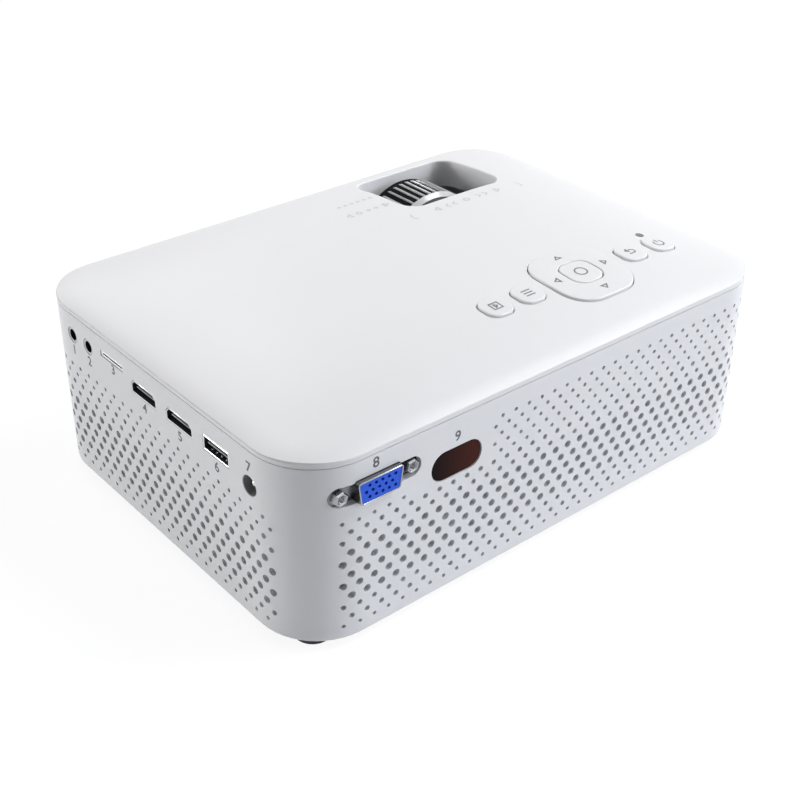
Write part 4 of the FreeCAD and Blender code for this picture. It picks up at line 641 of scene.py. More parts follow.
@dataclass(frozen=True)
class VentRow:
    """One row of round vents.

    Attributes:
        height: height of the holes' middles.
        rear: hole radius on the rear and hidden sides.
        port: hole radius on the socket side, 0 for none.
    """

    height: float
    rear: float
    port: float


class VentSize(Enum):
    """Hole radii that the rows are made of."""

    LARGE = 1.30 * MM
    MIDDLE = 0.93 * MM
    SMALL = 0.70 * MM
    NONE = 0.0


def vent_rows() -> list[VentRow]:
    """Rows from the feet up: large in the middle of the field and small at its edges."""
    large, middle, small, none = (size.value for size in VentSize)
    heights = (7.65, 10.75, 14.6, 18.4, 22.2, 26.05, 29.85, 33.7, 37.5, 41.0, 44.05, 47.3, 50.3, 53.3, 56.3)
    rear = (small, middle, middle) + (large,) * 5 + (middle, middle) + (small,) * 5
    port = (small, middle) + (large,) * 5 + (middle, middle) + (small, small) + (none,) * 4
    return [VentRow(height * MM, *radii) for height, *radii in zip(heights, rear, port)]


@dataclass
class PerforatedShell:
    """Moulded case wall with a field of staggered round vents that wraps round its corners."""

    form: CaseForm = CASE
    half_pitch: float = 2.667 * MM
    rear_start: float = 26.7 * MM
    rear_end: float = 330.9 * MM
    port_start: float = -108.7 * MM
    port_end: float = 5.98 * MM
    window_gap: tuple[float, float] = (30.5 * MM, 58.5 * MM)
    small_field_limit: float = 33.0 * MM
    high_row: float = 42.5 * MM
    top_row: float = 46.0 * MM
    edge: float = 0.9 * MM
    crisp: float = 0.6 * MM
    rim_steps: int = 16

    def across(self, arc: float) -> float:
        """X on the rear face at a distance along the outline from the socket side's rear end."""
        form = self.form
        return form.half_x - form.radius + math.pi / 2 * form.radius - arc

    def hole(self, row: VentRow, arc: float, on_port: bool) -> float:
        """Radius of the hole at a place, 0 where the wall is plain."""
        if on_port:
            return row.port
        across = self.across(arc)
        beside_window = self.window_gap[0] < across < self.window_gap[1]
        if row.height > self.high_row and beside_window:
            return 0.0
        if row.height > self.top_row and across > self.small_field_limit:
            return 0.0
        return row.rear

    def columns(self) -> list[tuple[float, float, int, bool]]:
        """Half columns round the outline: left edge, right edge, number in the run, on the socket side."""
        perimeter = 4 * self.form.quarter
        step = self.half_pitch
        made: list[tuple[float, float, int, bool]] = []
        runs = ((self.port_start, self.port_end, True), (self.rear_start, self.rear_end, False))
        for number, (start, end, on_port) in enumerate(runs):
            count = round((end - start) / step)
            made += [(start + (n - 1) * step, start + n * step, n, on_port) for n in range(count + 2)]
            gap_start = start + (count + 1) * step
            gap_end = self.rear_start - step if number == 0 else self.port_start - step + perimeter
            cuts = round((gap_end - gap_start) / step)
            width = (gap_end - gap_start) / cuts
            made += [(gap_start + cut * width, gap_start + (cut + 1) * width, -1, on_port) for cut in range(cuts)]
        return made

    def guides(self) -> bpy.types.Object:
        """One point per cell of the wall, with the cell's half sizes and hole radius."""
        rows = vent_rows()
        columns = self.columns()
        edges = [(low.height + high.height) / 2 for low, high in zip(rows, rows[1:])]
        first = rows[0].height - (edges[0] - rows[0].height)
        last = rows[-1].height + (rows[-1].height - edges[-1])
        bounds = [first, *edges, last]
        cells: list[tuple[float, float, float, float, float]] = []
        for number, row in enumerate(rows):
            low, high = bounds[number], bounds[number + 1]
            column = 0
            while column < len(columns):
                left, right, place, on_port = columns[column]
                pair = columns[column + 1] if column + 1 < len(columns) else None
                radius = 0.0
                if place >= 0 and (place + number) % 2 == 0 and pair and pair[2] == place + 1:
                    radius = self.hole(row, right, on_port)
                if radius > 0:
                    right = pair[1]
                    column += 1
                cells.append(((left + right) / 2, (low + high) / 2, (right - left) / 2, (high - low) / 2, radius))
                column += 1
        form = self.form
        lows = [form.bottom + share * self.edge for share in (0.0, 0.08, 0.3, 0.62, 1.0)] + [first]
        highs = [last] + [form.seam - share * self.edge for share in (1.0, 0.62, 0.3, 0.08, 0.0)]
        for strip in (lows, highs):
            for low, high in zip(strip, strip[1:]):
                for left, right, _, _ in columns:
                    cells.append(((left + right) / 2, (low + high) / 2, (right - left) / 2, (high - low) / 2, 0.0))
        mesh = bpy.data.meshes.new("vent_guides")
        mesh.from_pydata([(cell[0], cell[1], 0.0) for cell in cells], [], [])
        for name, column in (("half_s", 2), ("half_z", 3), ("hole", 4)):
            data = mesh.attributes.new(name, "FLOAT", "POINT")
            data.data.foreach_set("value", [cell[column] for cell in cells])
        guides = bpy.data.objects.new("vent_guides", mesh)
        bpy.context.scene.collection.objects.link(guides)
        return guides

    def tile(self, name: str, pierced: bool) -> bpy.types.Object:
        """A cell of the wall over the square from -1 to 1, whose hole ring is flagged as rim."""
        outer = [(-1.0, -1.0), (0.0, -1.0), (1.0, -1.0), (1.0, 1.0), (0.0, 1.0), (-1.0, 1.0)]
        sculpt = Sculpt()
        flags = [0.0] * len(outer)
        if pierced:
            ring = circle_loop(0.6, self.rim_steps)
            faces = triangulate(outer, [ring], [], lambda x, y: math.hypot(x, y) > 0.58)
            sculpt.ring([(x, y, 0.0) for x, y in outer])
            sculpt.ring([(x / 0.6, y / 0.6, 0.0) for x, y in ring])
            sculpt.faces = list(faces)
            flags += [1.0] * len(ring)
        else:
            outer = [(-1.0, -1.0), (1.0, -1.0), (1.0, 1.0), (-1.0, 1.0)]
            flags = [0.0] * len(outer)
            sculpt.ring([(x, y, 0.0) for x, y in outer])
            sculpt.faces = [(0, 1, 2, 3)]
        mesh = bpy.data.meshes.new(name)
        mesh.from_pydata(sculpt.verts, [], sculpt.faces)
        mesh.attributes.new("rim", "FLOAT", "POINT").data.foreach_set("value", flags)
        made = bpy.data.objects.new(name, mesh)
        bpy.context.scene.collection.objects.link(made)
        return made

    def wrap_tree(self) -> bpy.types.NodeTree:
        """Node group that sets a tile on every guide point and wraps the sheet round the outline."""
        tree = bpy.data.node_groups.new("perforated_wall", "GeometryNodeTree")
        face = tree.interface
        face.new_socket("Geometry", in_out="INPUT", socket_type="NodeSocketGeometry")
        face.new_socket("Geometry", in_out="OUTPUT", socket_type="NodeSocketGeometry")
        for name in ("Pierced Tile", "Plain Tile"):
            face.new_socket(name, in_out="INPUT", socket_type="NodeSocketObject")
        for name in ("Width", "Depth", "Corner Radius", "Edge Radius", "Bottom", "Top"):
            face.new_socket(name, in_out="INPUT", socket_type="NodeSocketFloat")
        face.new_socket("Material", in_out="INPUT", socket_type="NodeSocketMaterial")
        graph = Graph(tree)
        given = graph.node("NodeGroupInput")

        def named(name: str) -> Wire:
            """A stored number by its name."""
            return graph.out(graph.node("GeometryNodeInputNamedAttribute", {"data_type": "FLOAT"}, {"Name": name}))

        place = graph.node("GeometryNodeInputPosition")
        kept = graph.node("GeometryNodeStoreNamedAttribute", {"data_type": "FLOAT_VECTOR"}, {
            "Geometry": given.outputs["Geometry"], "Name": "middle", "Value": place.outputs[0],
        })
        pierced = named("hole") > 1e-6
        sets = []
        for chosen, name in ((pierced, "Pierced Tile"), (1.0 - pierced, "Plain Tile")):
            tile = graph.node("GeometryNodeObjectInfo", None, {"Object": given.outputs[name]})
            sets.append(graph.node("GeometryNodeInstanceOnPoints", None, {
                "Points": kept.outputs[0], "Selection": chosen, "Instance": tile.outputs["Geometry"],
            }))
        both = graph.node("GeometryNodeJoinGeometry")
        for one in reversed(sets):
            tree.links.new(one.outputs[0], both.inputs[0])
        real = graph.node("GeometryNodeRealizeInstances", None, {"Geometry": both.outputs[0]})
        middle = graph.node("GeometryNodeInputNamedAttribute", {"data_type": "FLOAT_VECTOR"}, {"Name": "middle"})
        local = graph.node("ShaderNodeVectorMath", {"operation": "SUBTRACT"}, {0: place.outputs[0], 1: middle.outputs[0]})
        parts = graph.node("ShaderNodeSeparateXYZ", None, {0: local.outputs[0]})
        centre = graph.node("ShaderNodeSeparateXYZ", None, {0: middle.outputs[0]})
        rim = named("rim")
        hole = named("hole")
        arc = graph.out(centre, 0) + graph.out(parts, 0) * (named("half_s") * (1.0 - rim) + hole * rim)
        height = graph.out(centre, 1) + graph.out(parts, 1) * (named("half_z") * (1.0 - rim) + hole * rim)
        outline = graph.node("GeometryNodeCurvePrimitiveQuadrilateral", None, {
            "Width": given.outputs["Width"], "Height": given.outputs["Depth"],
        })
        rounded = graph.node("GeometryNodeFilletCurve", {"mode": "POLY"}, {
            "Curve": outline.outputs[0], "Radius": given.outputs["Corner Radius"], "Count": 32,
        })
        length = graph.out(graph.node("GeometryNodeCurveLength", None, {"Curve": rounded.outputs[0]}))
        turned = graph.math("WRAP", arc, length, 0.0)
        sample = graph.node("GeometryNodeSampleCurve", {"mode": "LENGTH"}, {
            "Curves": rounded.outputs[0], "Length": turned,
        })
        outward = graph.node("ShaderNodeVectorMath", {"operation": "CROSS_PRODUCT"}, {
            0: sample.outputs["Tangent"], 1: (0.0, 0.0, 1.0),
        })
        radius = Wire(graph, given.outputs["Edge Radius"])
        near = graph.math("MINIMUM", height - given.outputs["Bottom"], Wire(graph, given.outputs["Top"]) - height)
        short = graph.clamp(radius - near, 0.0, 1.0)
        inset = radius - graph.math("SQRT", graph.clamp(radius * radius - short * short, 0.0, 1.0))
        shift = graph.node("ShaderNodeVectorMath", {"operation": "SCALE"}, {0: outward.outputs[0], "Scale": 0.0 - inset})
        level = graph.node("ShaderNodeCombineXYZ", None, {2: height})
        moved = graph.node("ShaderNodeVectorMath", {"operation": "ADD"}, {0: sample.outputs["Position"], 1: shift.outputs[0]})
        final = graph.node("ShaderNodeVectorMath", {"operation": "ADD"}, {0: moved.outputs[0], 1: level.outputs[0]})
        placed = graph.node("GeometryNodeSetPosition", None, {"Geometry": real.outputs[0], "Position": final.outputs[0]})
        merged = graph.node("GeometryNodeMergeByDistance", None, {"Geometry": placed.outputs[0], "Distance": 0.00004})
        coloured = graph.node("GeometryNodeSetMaterial", None, {
            "Geometry": merged.outputs[0], "Material": given.outputs["Material"],
        })
        graph.node("NodeGroupOutput", None, {"Geometry": coloured.outputs[0]})
        return tree

    def wall(self) -> bpy.types.Object:
        """The wall as a closed solid, before its sockets are cut."""
        guides = self.guides()
        tiles = {"Pierced Tile": self.tile("pierced_tile", True), "Plain Tile": self.tile("plain_tile", False)}
        tree = self.wrap_tree()
        form = self.form
        values = {
            "Width": 2 * form.half_x, "Depth": 2 * form.half_y, "Corner Radius": form.radius,
            "Edge Radius": self.edge, "Bottom": form.bottom, "Top": form.seam + self.crisp,
            "Material": WHITE_CASE.material(), **tiles,
        }
        modifier = guides.modifiers.new("wall", "NODES")
        modifier.node_group = tree
        for item in tree.interface.items_tree:
            if item.in_out == "INPUT" and item.name in values:
                modifier[item.identifier] = values[item.name]
        guides.update_tag()
        thick = guides.modifiers.new("thickness", "SOLIDIFY")
        thick.thickness = form.wall
        thick.offset = -1.0
        thick.use_even_offset = True
        mesh = evaluated_mesh(guides)
        for thing in (guides, *tiles.values()):
            bpy.data.objects.remove(thing)
        return wrap_mesh("case_wall", mesh, 30.0)

    def build(self, cutters: Sequence[bpy.types.Object]) -> None:
        """Make the wall with its openings and dress it."""
        shell = carve(self.wall(), cutters)
        shell.name = "case_wall"
        dress(shell, WHITE_CASE, "case", ["body_shell"])


# -------------------------------------------------------------------- openings


class Side(Enum):
    """A side of the case: the axes that run right and up on it, seen from outside, and outward."""

    PORT = (Vector((0, 1, 0)), Vector((0, 0, 1)), Vector((1, 0, 0)))
    REAR = (Vector((-1, 0, 0)), Vector((0, 0, 1)), Vector((0, 1, 0)))
    FRONT = (Vector((1, 0, 0)), Vector((0, 0, 1)), Vector((0, -1, 0)))
    TOP = (Vector((-1, 0, 0)), Vector((0, -1, 0)), Vector((0, 0, 1)))

    def spot(self, along: float, up: float, out: float) -> Vector:
        """A point from its coordinate on the side's level axis, its other one and its depth."""
        right, rise, outward = self.value
        level = Vector((abs(right.x), abs(right.y), 0)) * along
        other = Vector((0, abs(rise.y), abs(rise.z))) * up
        return level + other + outward * out


def prism(sculpt: Sculpt, side: Side, loop: Sequence[Point], middle: Point, depths: Sequence[tuple[float, float]]) -> None:
    """Add a closed prism on a side.

    Args:
        sculpt: mesh to add to.
        side: side that the profile is drawn on.
        loop: profile, anticlockwise seen from outside.
        middle: place of the profile's origin on the side.
        depths: pairs of a distance outward and the profile's scale there.
    """
    right, rise, outward = side.value
    origin = side.spot(middle[0], middle[1], 0.0)
    rings = []
    for out, scale in depths:
        rings.append([origin + right * (x * scale) + rise * (y * scale) + outward * out for x, y in loop])
    sculpt.loft(rings)


def video_loop(wide: float, tall: float, chamfer: float) -> list[Point]:
    """Outline of a digital picture socket that hangs upside down: a slot whose upper corners are cut."""
    x, y = wide / 2, tall / 2
    return [(-x, -y), (x, -y), (x, y - chamfer), (x - chamfer, y), (-x + chamfer, y), (-x, y - chamfer)]


@dataclass
class Openings:
    """Cuts through the case wall for sockets, lens, window and tray."""

    form: CaseForm = CASE
    gap: float = 0.15 * MM
    reach: float = 6.0 * MM
    jack_radius: float = 2.85 * MM
    jack_height: float = 55.7 * MM
    jack_places: tuple[float, float] = (-48.4 * MM, -38.5 * MM)
    video_places: tuple[float, float] = (-5.2 * MM, 14.5 * MM)
    video_size: tuple[float, float, float] = (14.3 * MM, 4.9 * MM, 1.6 * MM)
    video_height: float = 54.3 * MM
    power_place: Point = (50.0 * MM, 51.6 * MM)
    power_radius: float = 3.3 * MM
    analog_place: Point = (72.3 * MM, 53.2 * MM)
    analog_size: Point = (31.0 * MM, 6.6 * MM)
    shell_size: Point = (15.0 * MM, 7.6 * MM)
    shell_slant: float = 0.5 * MM
    shell_corner: float = 1.1 * MM
    data_place: Point = (33.8 * MM, 54.4 * MM)
    data_size: Point = (13.1 * MM, 5.1 * MM)
    card_place: Point = (-23.5 * MM, 57.4 * MM)
    card_size: Point = (13.3 * MM, 1.9 * MM)
    window_place: Point = (43.2 * MM, 48.0 * MM)
    window_size: Point = (19.4 * MM, 10.0 * MM)
    lens_place: Point = (-47.0 * MM, 45.0 * MM)
    lens_radius: float = 16.5 * MM

    def shell_loop(self, grow: float) -> list[Point]:
        """Outline of the analog socket's shell, broad at the top, grown."""
        half_x = self.shell_size[0] / 2 + grow
        half_z = self.shell_size[1] / 2 + grow
        base = rounded_loop(half_x, half_z, self.shell_corner + grow, 6)
        return [(x + math.copysign(self.shell_slant, x) * z / half_z, z) for x, z in base]

    def cutters(self) -> list[bpy.types.Object]:
        """The cuts, with the two that cross each other in separate objects."""
        sculpt = Sculpt()
        out_x = self.form.half_x
        out_y = self.form.half_y
        through_x = [(out_x - self.reach, 1.0), (out_x + self.reach, 1.0)]
        through_y = [(out_y - self.reach, 1.0), (out_y + self.reach, 1.0)]
        for along in self.jack_places:
            prism(sculpt, Side.PORT, circle_loop(self.jack_radius, 40), (along, self.jack_height), through_x)
        for along in self.video_places:
            prism(sculpt, Side.PORT, video_loop(*self.video_size), (along, self.video_height), through_x)
        prism(sculpt, Side.PORT, circle_loop(self.power_radius, 48), self.power_place, through_x)
        for place, (wide, tall), corner in (
            (self.data_place, self.data_size, 0.4 * MM), (self.card_place, self.card_size, 0.3 * MM),
        ):
            loop = rounded_loop(wide / 2 + self.gap, tall / 2 + self.gap, corner, 3)
            prism(sculpt, Side.PORT, loop, place, through_x)
        shell = Sculpt()
        prism(shell, Side.REAR, self.shell_loop(0.25 * MM), self.analog_place, through_y)
        for place, (wide, tall) in ((self.analog_place, self.analog_size), (self.window_place, self.window_size)):
            loop = rounded_loop(wide / 2, tall / 2, tall / 2 - 0.01 * MM, 14)
            prism(sculpt, Side.REAR, loop, place, through_y)
        prism(sculpt, Side.FRONT, circle_loop(self.lens_radius, 72), self.lens_place, through_y)
        low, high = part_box("tray_bezel")
        half_x = (high[0] - low[0]) / 2 + 2 * self.gap
        half_z = (high[2] - low[2]) / 2 + 2 * self.gap
        middle = ((high[0] + low[0]) / 2, (high[2] + low[2]) / 2)
        prism(sculpt, Side.FRONT, rounded_loop(half_x, half_z, 0.8 * MM, 4), middle, through_y)
        return [sculpt.object("opening_cuts"), shell.object("shell_cut")]


# ---------------------------------------------------------------- cover and keys


@dataclass(frozen=True)
class KeySpot:
    """Place and form of one key or hole in the cover."""

    along: float
    half: float
    corner: float
    back: float = 42.5 * MM

    def loop(self, grow: float, steps: int = 8) -> list[Point]:
        """The key's outline, grown, on the plan."""
        half = self.half + grow
        return shifted(rounded_loop(half, half, self.corner + grow, steps), self.along, self.back)


SOURCE = KeySpot(0.7 * MM, 5.0 * MM, 3.6 * MM)
MENU = KeySpot(-13.3 * MM, 5.0 * MM, 3.6 * MM)
PAD = KeySpot(-37.3 * MM, 15.0 * MM, 10.0 * MM)
CENTRE = KeySpot(-37.3 * MM, 6.3 * MM, 4.5 * MM)
RETURN = KeySpot(-61.3 * MM, 5.0 * MM, 3.6 * MM)
POWER = KeySpot(-75.3 * MM, 5.0 * MM, 3.6 * MM)


@dataclass
class CrownedCover:
    """Cover with a barely domed top that falls away at its edge, and lipped holes.

    Attributes:
        fall: how far the skin drops at the outline, below the crown.
        fall_reach: width of the band over which it drops.
        side: height of the plain side above the groove.
        nick: depth of the hairline between the side and the skin.
    """

    form: CaseForm = CASE
    fall: float = 0.65 * MM
    fall_reach: float = 6.5 * MM
    side: float = 1.35 * MM
    nick: float = 0.16 * MM
    key_gap: float = 0.3 * MM
    lip: float = 0.5 * MM
    grid: float = 4.0 * MM
    opening_middle: Point = (-49.0 * MM, -46.9 * MM)
    opening_half: Point = (22.8 * MM, 17.6 * MM)
    opening_corner: float = 7.0 * MM
    opening_depth: float = 10.6 * MM
    opening_lip: float = 0.6 * MM
    opening_wall: float = 1.5 * MM
    dot_place: Point = (-75.3 * MM, 34.3 * MM)
    dot_radius: float = 1.4 * MM

    def outline(self, inset: float) -> list[Point]:
        """The case's outline, inset, with even steps along its sides."""
        form = self.form
        return rounded_loop(form.half_x - inset, form.half_y - inset, form.radius - inset, 16, 38, 26)

    def opening(self, grow: float) -> list[Point]:
        """Outline of the finger opening, grown."""
        half_x, half_y = self.opening_half
        return shifted(rounded_loop(half_x + grow, half_y + grow, self.opening_corner + grow, 10, 8, 4),
                       *self.opening_middle)

    def dot(self, grow: float) -> list[Point]:
        """Outline of the indicator's hole, grown."""
        return shifted(circle_loop(self.dot_radius + grow, 24), *self.dot_place)

    def draped(self, loop: Sequence[Point], drop: float) -> list[tuple[float, float, float]]:
        """A loop laid on the crown and lowered."""
        return [(x, y, self.form.crown(x, y) - drop) for x, y in loop]

    def build(self) -> None:
        """Make the cover and dress it."""
        form = self.form
        sculpt = Sculpt()
        low = form.seam - 2.0 * MM
        side = self.outline(0.0)
        rings = [
            [(x, y, low) for x, y in self.outline(form.lip_inset)],
            [(x, y, form.lip_top) for x, y in self.outline(form.lip_inset)],
            [(x, y, form.lip_top) for x, y in self.outline(0.06 * MM)],
            [(x, y, form.lip_top + 0.06 * MM) for x, y in side],
            [(x, y, form.lip_top + self.side) for x, y in side],
            [(x, y, form.lip_top + self.side - 0.04 * MM) for x, y in self.outline(self.nick)],
        ]
        for inset in (self.nick + 0.04 * MM, 0.5 * MM, 1.2 * MM, 2.2 * MM, 3.6 * MM, 5.0 * MM, self.fall_reach):
            fall = self.fall * (1 - inset / self.fall_reach) ** 2
            rings.append([(x, y, form.crown(x, y) - fall) for x, y in self.outline(inset)])
        numbers = [sculpt.ring(points) for points in rings[:-1]]
        for first, second in zip(numbers, numbers[1:]):
            sculpt.bridge(first, second)
        outer = self.outline(self.fall_reach)
        spots = [spot.loop(self.key_gap + self.lip) for spot in (SOURCE, MENU, PAD, RETURN, POWER)]
        holes = [*spots, self.opening(self.opening_lip), self.dot(0.25 * MM)]
        free = self.free_points(outer, holes)
        triangles = triangulate(outer, holes, free, lambda x, y: not any(inside((x, y), hole) for hole in holes))
        start = len(sculpt.verts)
        points = [*outer, *(point for hole in holes for point in hole), *free]
        sculpt.ring([(x, y, form.crown(x, y)) for x, y in points])
        sculpt.faces += [tuple(start + corner for corner in corners) for corners in triangles]
        sculpt.bridge(numbers[-1], list(range(start, start + len(outer))))
        begin = start + len(outer)
        growths = [self.key_gap + self.lip] * len(spots) + [self.opening_lip, 0.25 * MM]
        makers = [spot.loop for spot in (SOURCE, MENU, PAD, RETURN, POWER)] + [self.opening, self.dot]
        floors = [self.key_gap] * len(spots) + [0.0, 0.0]
        depths = [1.6 * MM] * len(spots) + [self.opening_depth, 1.2 * MM]
        for hole, growth, floor, depth, maker in zip(holes, growths, floors, depths, makers):
            previous = list(range(begin, begin + len(hole)))
            roll = growth - floor
            for step in range(1, 5):
                angle = math.pi / 2 * step / 4
                loop = maker(growth - roll * math.sin(angle))
                ring = sculpt.ring(self.draped(loop, roll * (1 - math.cos(angle))))
                sculpt.bridge(ring, previous)
                previous = ring
            ring = sculpt.ring(self.draped(maker(floor), depth))
            sculpt.bridge(ring, previous)
            begin += len(hole)
        self.opening_back(sculpt)
        cover = sculpt.object("crowned_cover", 40.0)
        dress(cover, WHITE_COVER, "case", ["top_cover"])

    def opening_back(self, sculpt: Sculpt) -> None:
        """Add the hidden face of the wall round the finger opening."""
        rings = [self.draped(self.opening(grow), drop) for grow, drop in (
            (0.0, self.opening_depth), (self.opening_wall, self.opening_depth), (self.opening_wall, 2.2 * MM),
        )]
        numbers = [sculpt.ring(points) for points in rings]
        for first, second in zip(numbers, numbers[1:]):
            sculpt.bridge(second, first)

    def free_points(self, outer: Sequence[Point], holes: Sequence[Sequence[Point]]) -> list[Point]:
        """Grid points that keep clear of the loops."""
        form = self.form
        count_x = int(form.half_x // self.grid)
        count_y = int(form.half_y // self.grid)
        loops = [outer, *holes]
        made = []
        for column in range(-count_x, count_x + 1):
            for row in range(-count_y, count_y + 1):
                point = (column * self.grid, row * self.grid)
                if not inside(point, outer) or any(inside(point, hole) for hole in holes):
                    continue
                near = min(math.dist(point, corner) for loop in loops for corner in loop)
                if near > 0.45 * self.grid:
                    made.append(point)
        return made


def inside(point: Point, loop: Sequence[Point]) -> bool:
    """Whether a point lies inside a loop."""
    x, y = point
    hit = False
    for (x0, y0), (x1, y1) in zip(loop, [*loop[1:], loop[0]]):
        if (y0 > y) != (y1 > y) and x < (x1 - x0) * (y - y0) / (y1 - y0) + x0:
            hit = not hit
    return hit


class Sign(Enum):
    """Plain pictograms, as strokes over a square of half size 1, right and up."""

    POWER = (
        tuple((0.78 * math.sin(math.radians(a)), 0.78 * math.cos(math.radians(a)) - 0.1) for a in range(40, 321, 14)),
        ((0.0, 0.95), (0.0, 0.05)),
    )
    BARS = (((-0.8, 0.6), (0.8, 0.6)), ((-0.8, 0.0), (0.8, 0.0)), ((-0.8, -0.6), (0.8, -0.6)))
    RETURN = (
        ((-0.55, 0.45), (0.45, 0.45), (0.72, 0.2), (0.72, -0.2), (0.45, -0.45), (-0.6, -0.45)),
        ((-0.15, 0.9), (-0.65, 0.45), (-0.15, 0.0)),
    )
    SOURCE = (
        ((0.75, 0.75), (-0.75, 0.75), (-0.75, -0.75), (0.75, -0.75), (0.75, 0.75)),
        ((-0.2, 0.4), (0.28, 0.0), (-0.2, -0.4), (-0.2, 0.4)),
    )
    RING = (tuple((0.62 * math.cos(math.radians(a)), 0.62 * math.sin(math.radians(a))) for a in range(0, 361, 15)),)
    DASH = (((-0.7, 0.0), (0.7, 0.0)), ((0.0, 0.55), (0.0, -0.55)))
    OPEN_ARC = (tuple((-1.1 + 1.5 * math.cos(math.radians(a)), 1.5 * math.sin(math.radians(a)))
                      for a in range(140, 221, 10)),)
    CLOSE_ARC = (tuple((1.1 - 1.5 * math.cos(math.radians(a)), 1.5 * math.sin(math.radians(a)))
                       for a in range(140, 221, 10)),)
    CHEVRON_LEFT = (((0.4, 0.8), (-0.5, 0.0), (0.4, -0.8)),)
    CHEVRON_RIGHT = (((-0.4, 0.8), (0.5, 0.0), (-0.4, -0.8)),)
    UP = (((-0.8, -0.5), (0.0, 0.6), (0.8, -0.5), (-0.8, -0.5)),)
    DOWN = (((-0.8, 0.5), (0.8, 0.5), (0.0, -0.6), (-0.8, 0.5)),)
    RIGHT = (((-0.5, 0.8), (0.6, 0.0), (-0.5, -0.8), (-0.5, 0.8)),)
    LEFT = (((0.5, 0.8), (0.5, -0.8), (-0.6, 0.0), (0.5, 0.8)),)


def stroke_points(path: Sequence[Point], width: float) -> list[tuple[Point, Point]]:
    """Left and right points along a stroke, with its corners mitred."""
    closed = math.dist(path[0], path[-1]) < 1e-9
    pairs = []
    last = len(path) - 1
    for number, (x, y) in enumerate(path):
        before = path[number - 1] if number > 0 else (path[last - 1] if closed else None)
        after = path[number + 1] if number < last else (path[1] if closed else None)
        ways = []
        for start, end in ((before, (x, y)), ((x, y), after)):
            if start is None or end is None:
                continue
            length = math.dist(start, end)
            ways.append(((end[0] - start[0]) / length, (end[1] - start[1]) / length))
        normal = Vector((-sum(way[1] for way in ways), sum(way[0] for way in ways))).normalized()
        bend = max(0.45, normal.dot(Vector((-ways[0][1], ways[0][0]))))
        reach = width / 2 / bend
        pairs.append(((x + normal.x * reach, y + normal.y * reach), (x - normal.x * reach, y - normal.y * reach)))
    return pairs


def draw_sign(name: str, sign: Sign, half: float, line: float, lay: Callable[[float, float], Sequence[float]]) -> bpy.types.Object:
    """A sign as a thin printed shape.

    Args:
        name: object name.
        sign: which pictogram.
        half: half of its height.
        line: width of its lines.
        lay: gives the place in space of a point right and up.

    Returns:
        The sign's object.
    """
    sculpt = Sculpt()
    for path in sign.value:
        pairs = stroke_points([(x * half, y * half) for x, y in path], line)
        left = sculpt.ring([lay(*pair[0]) for pair in pairs])
        right = sculpt.ring([lay(*pair[1]) for pair in pairs])
        sculpt.bridge(right, left, closed=False)
    return sculpt.object(name)


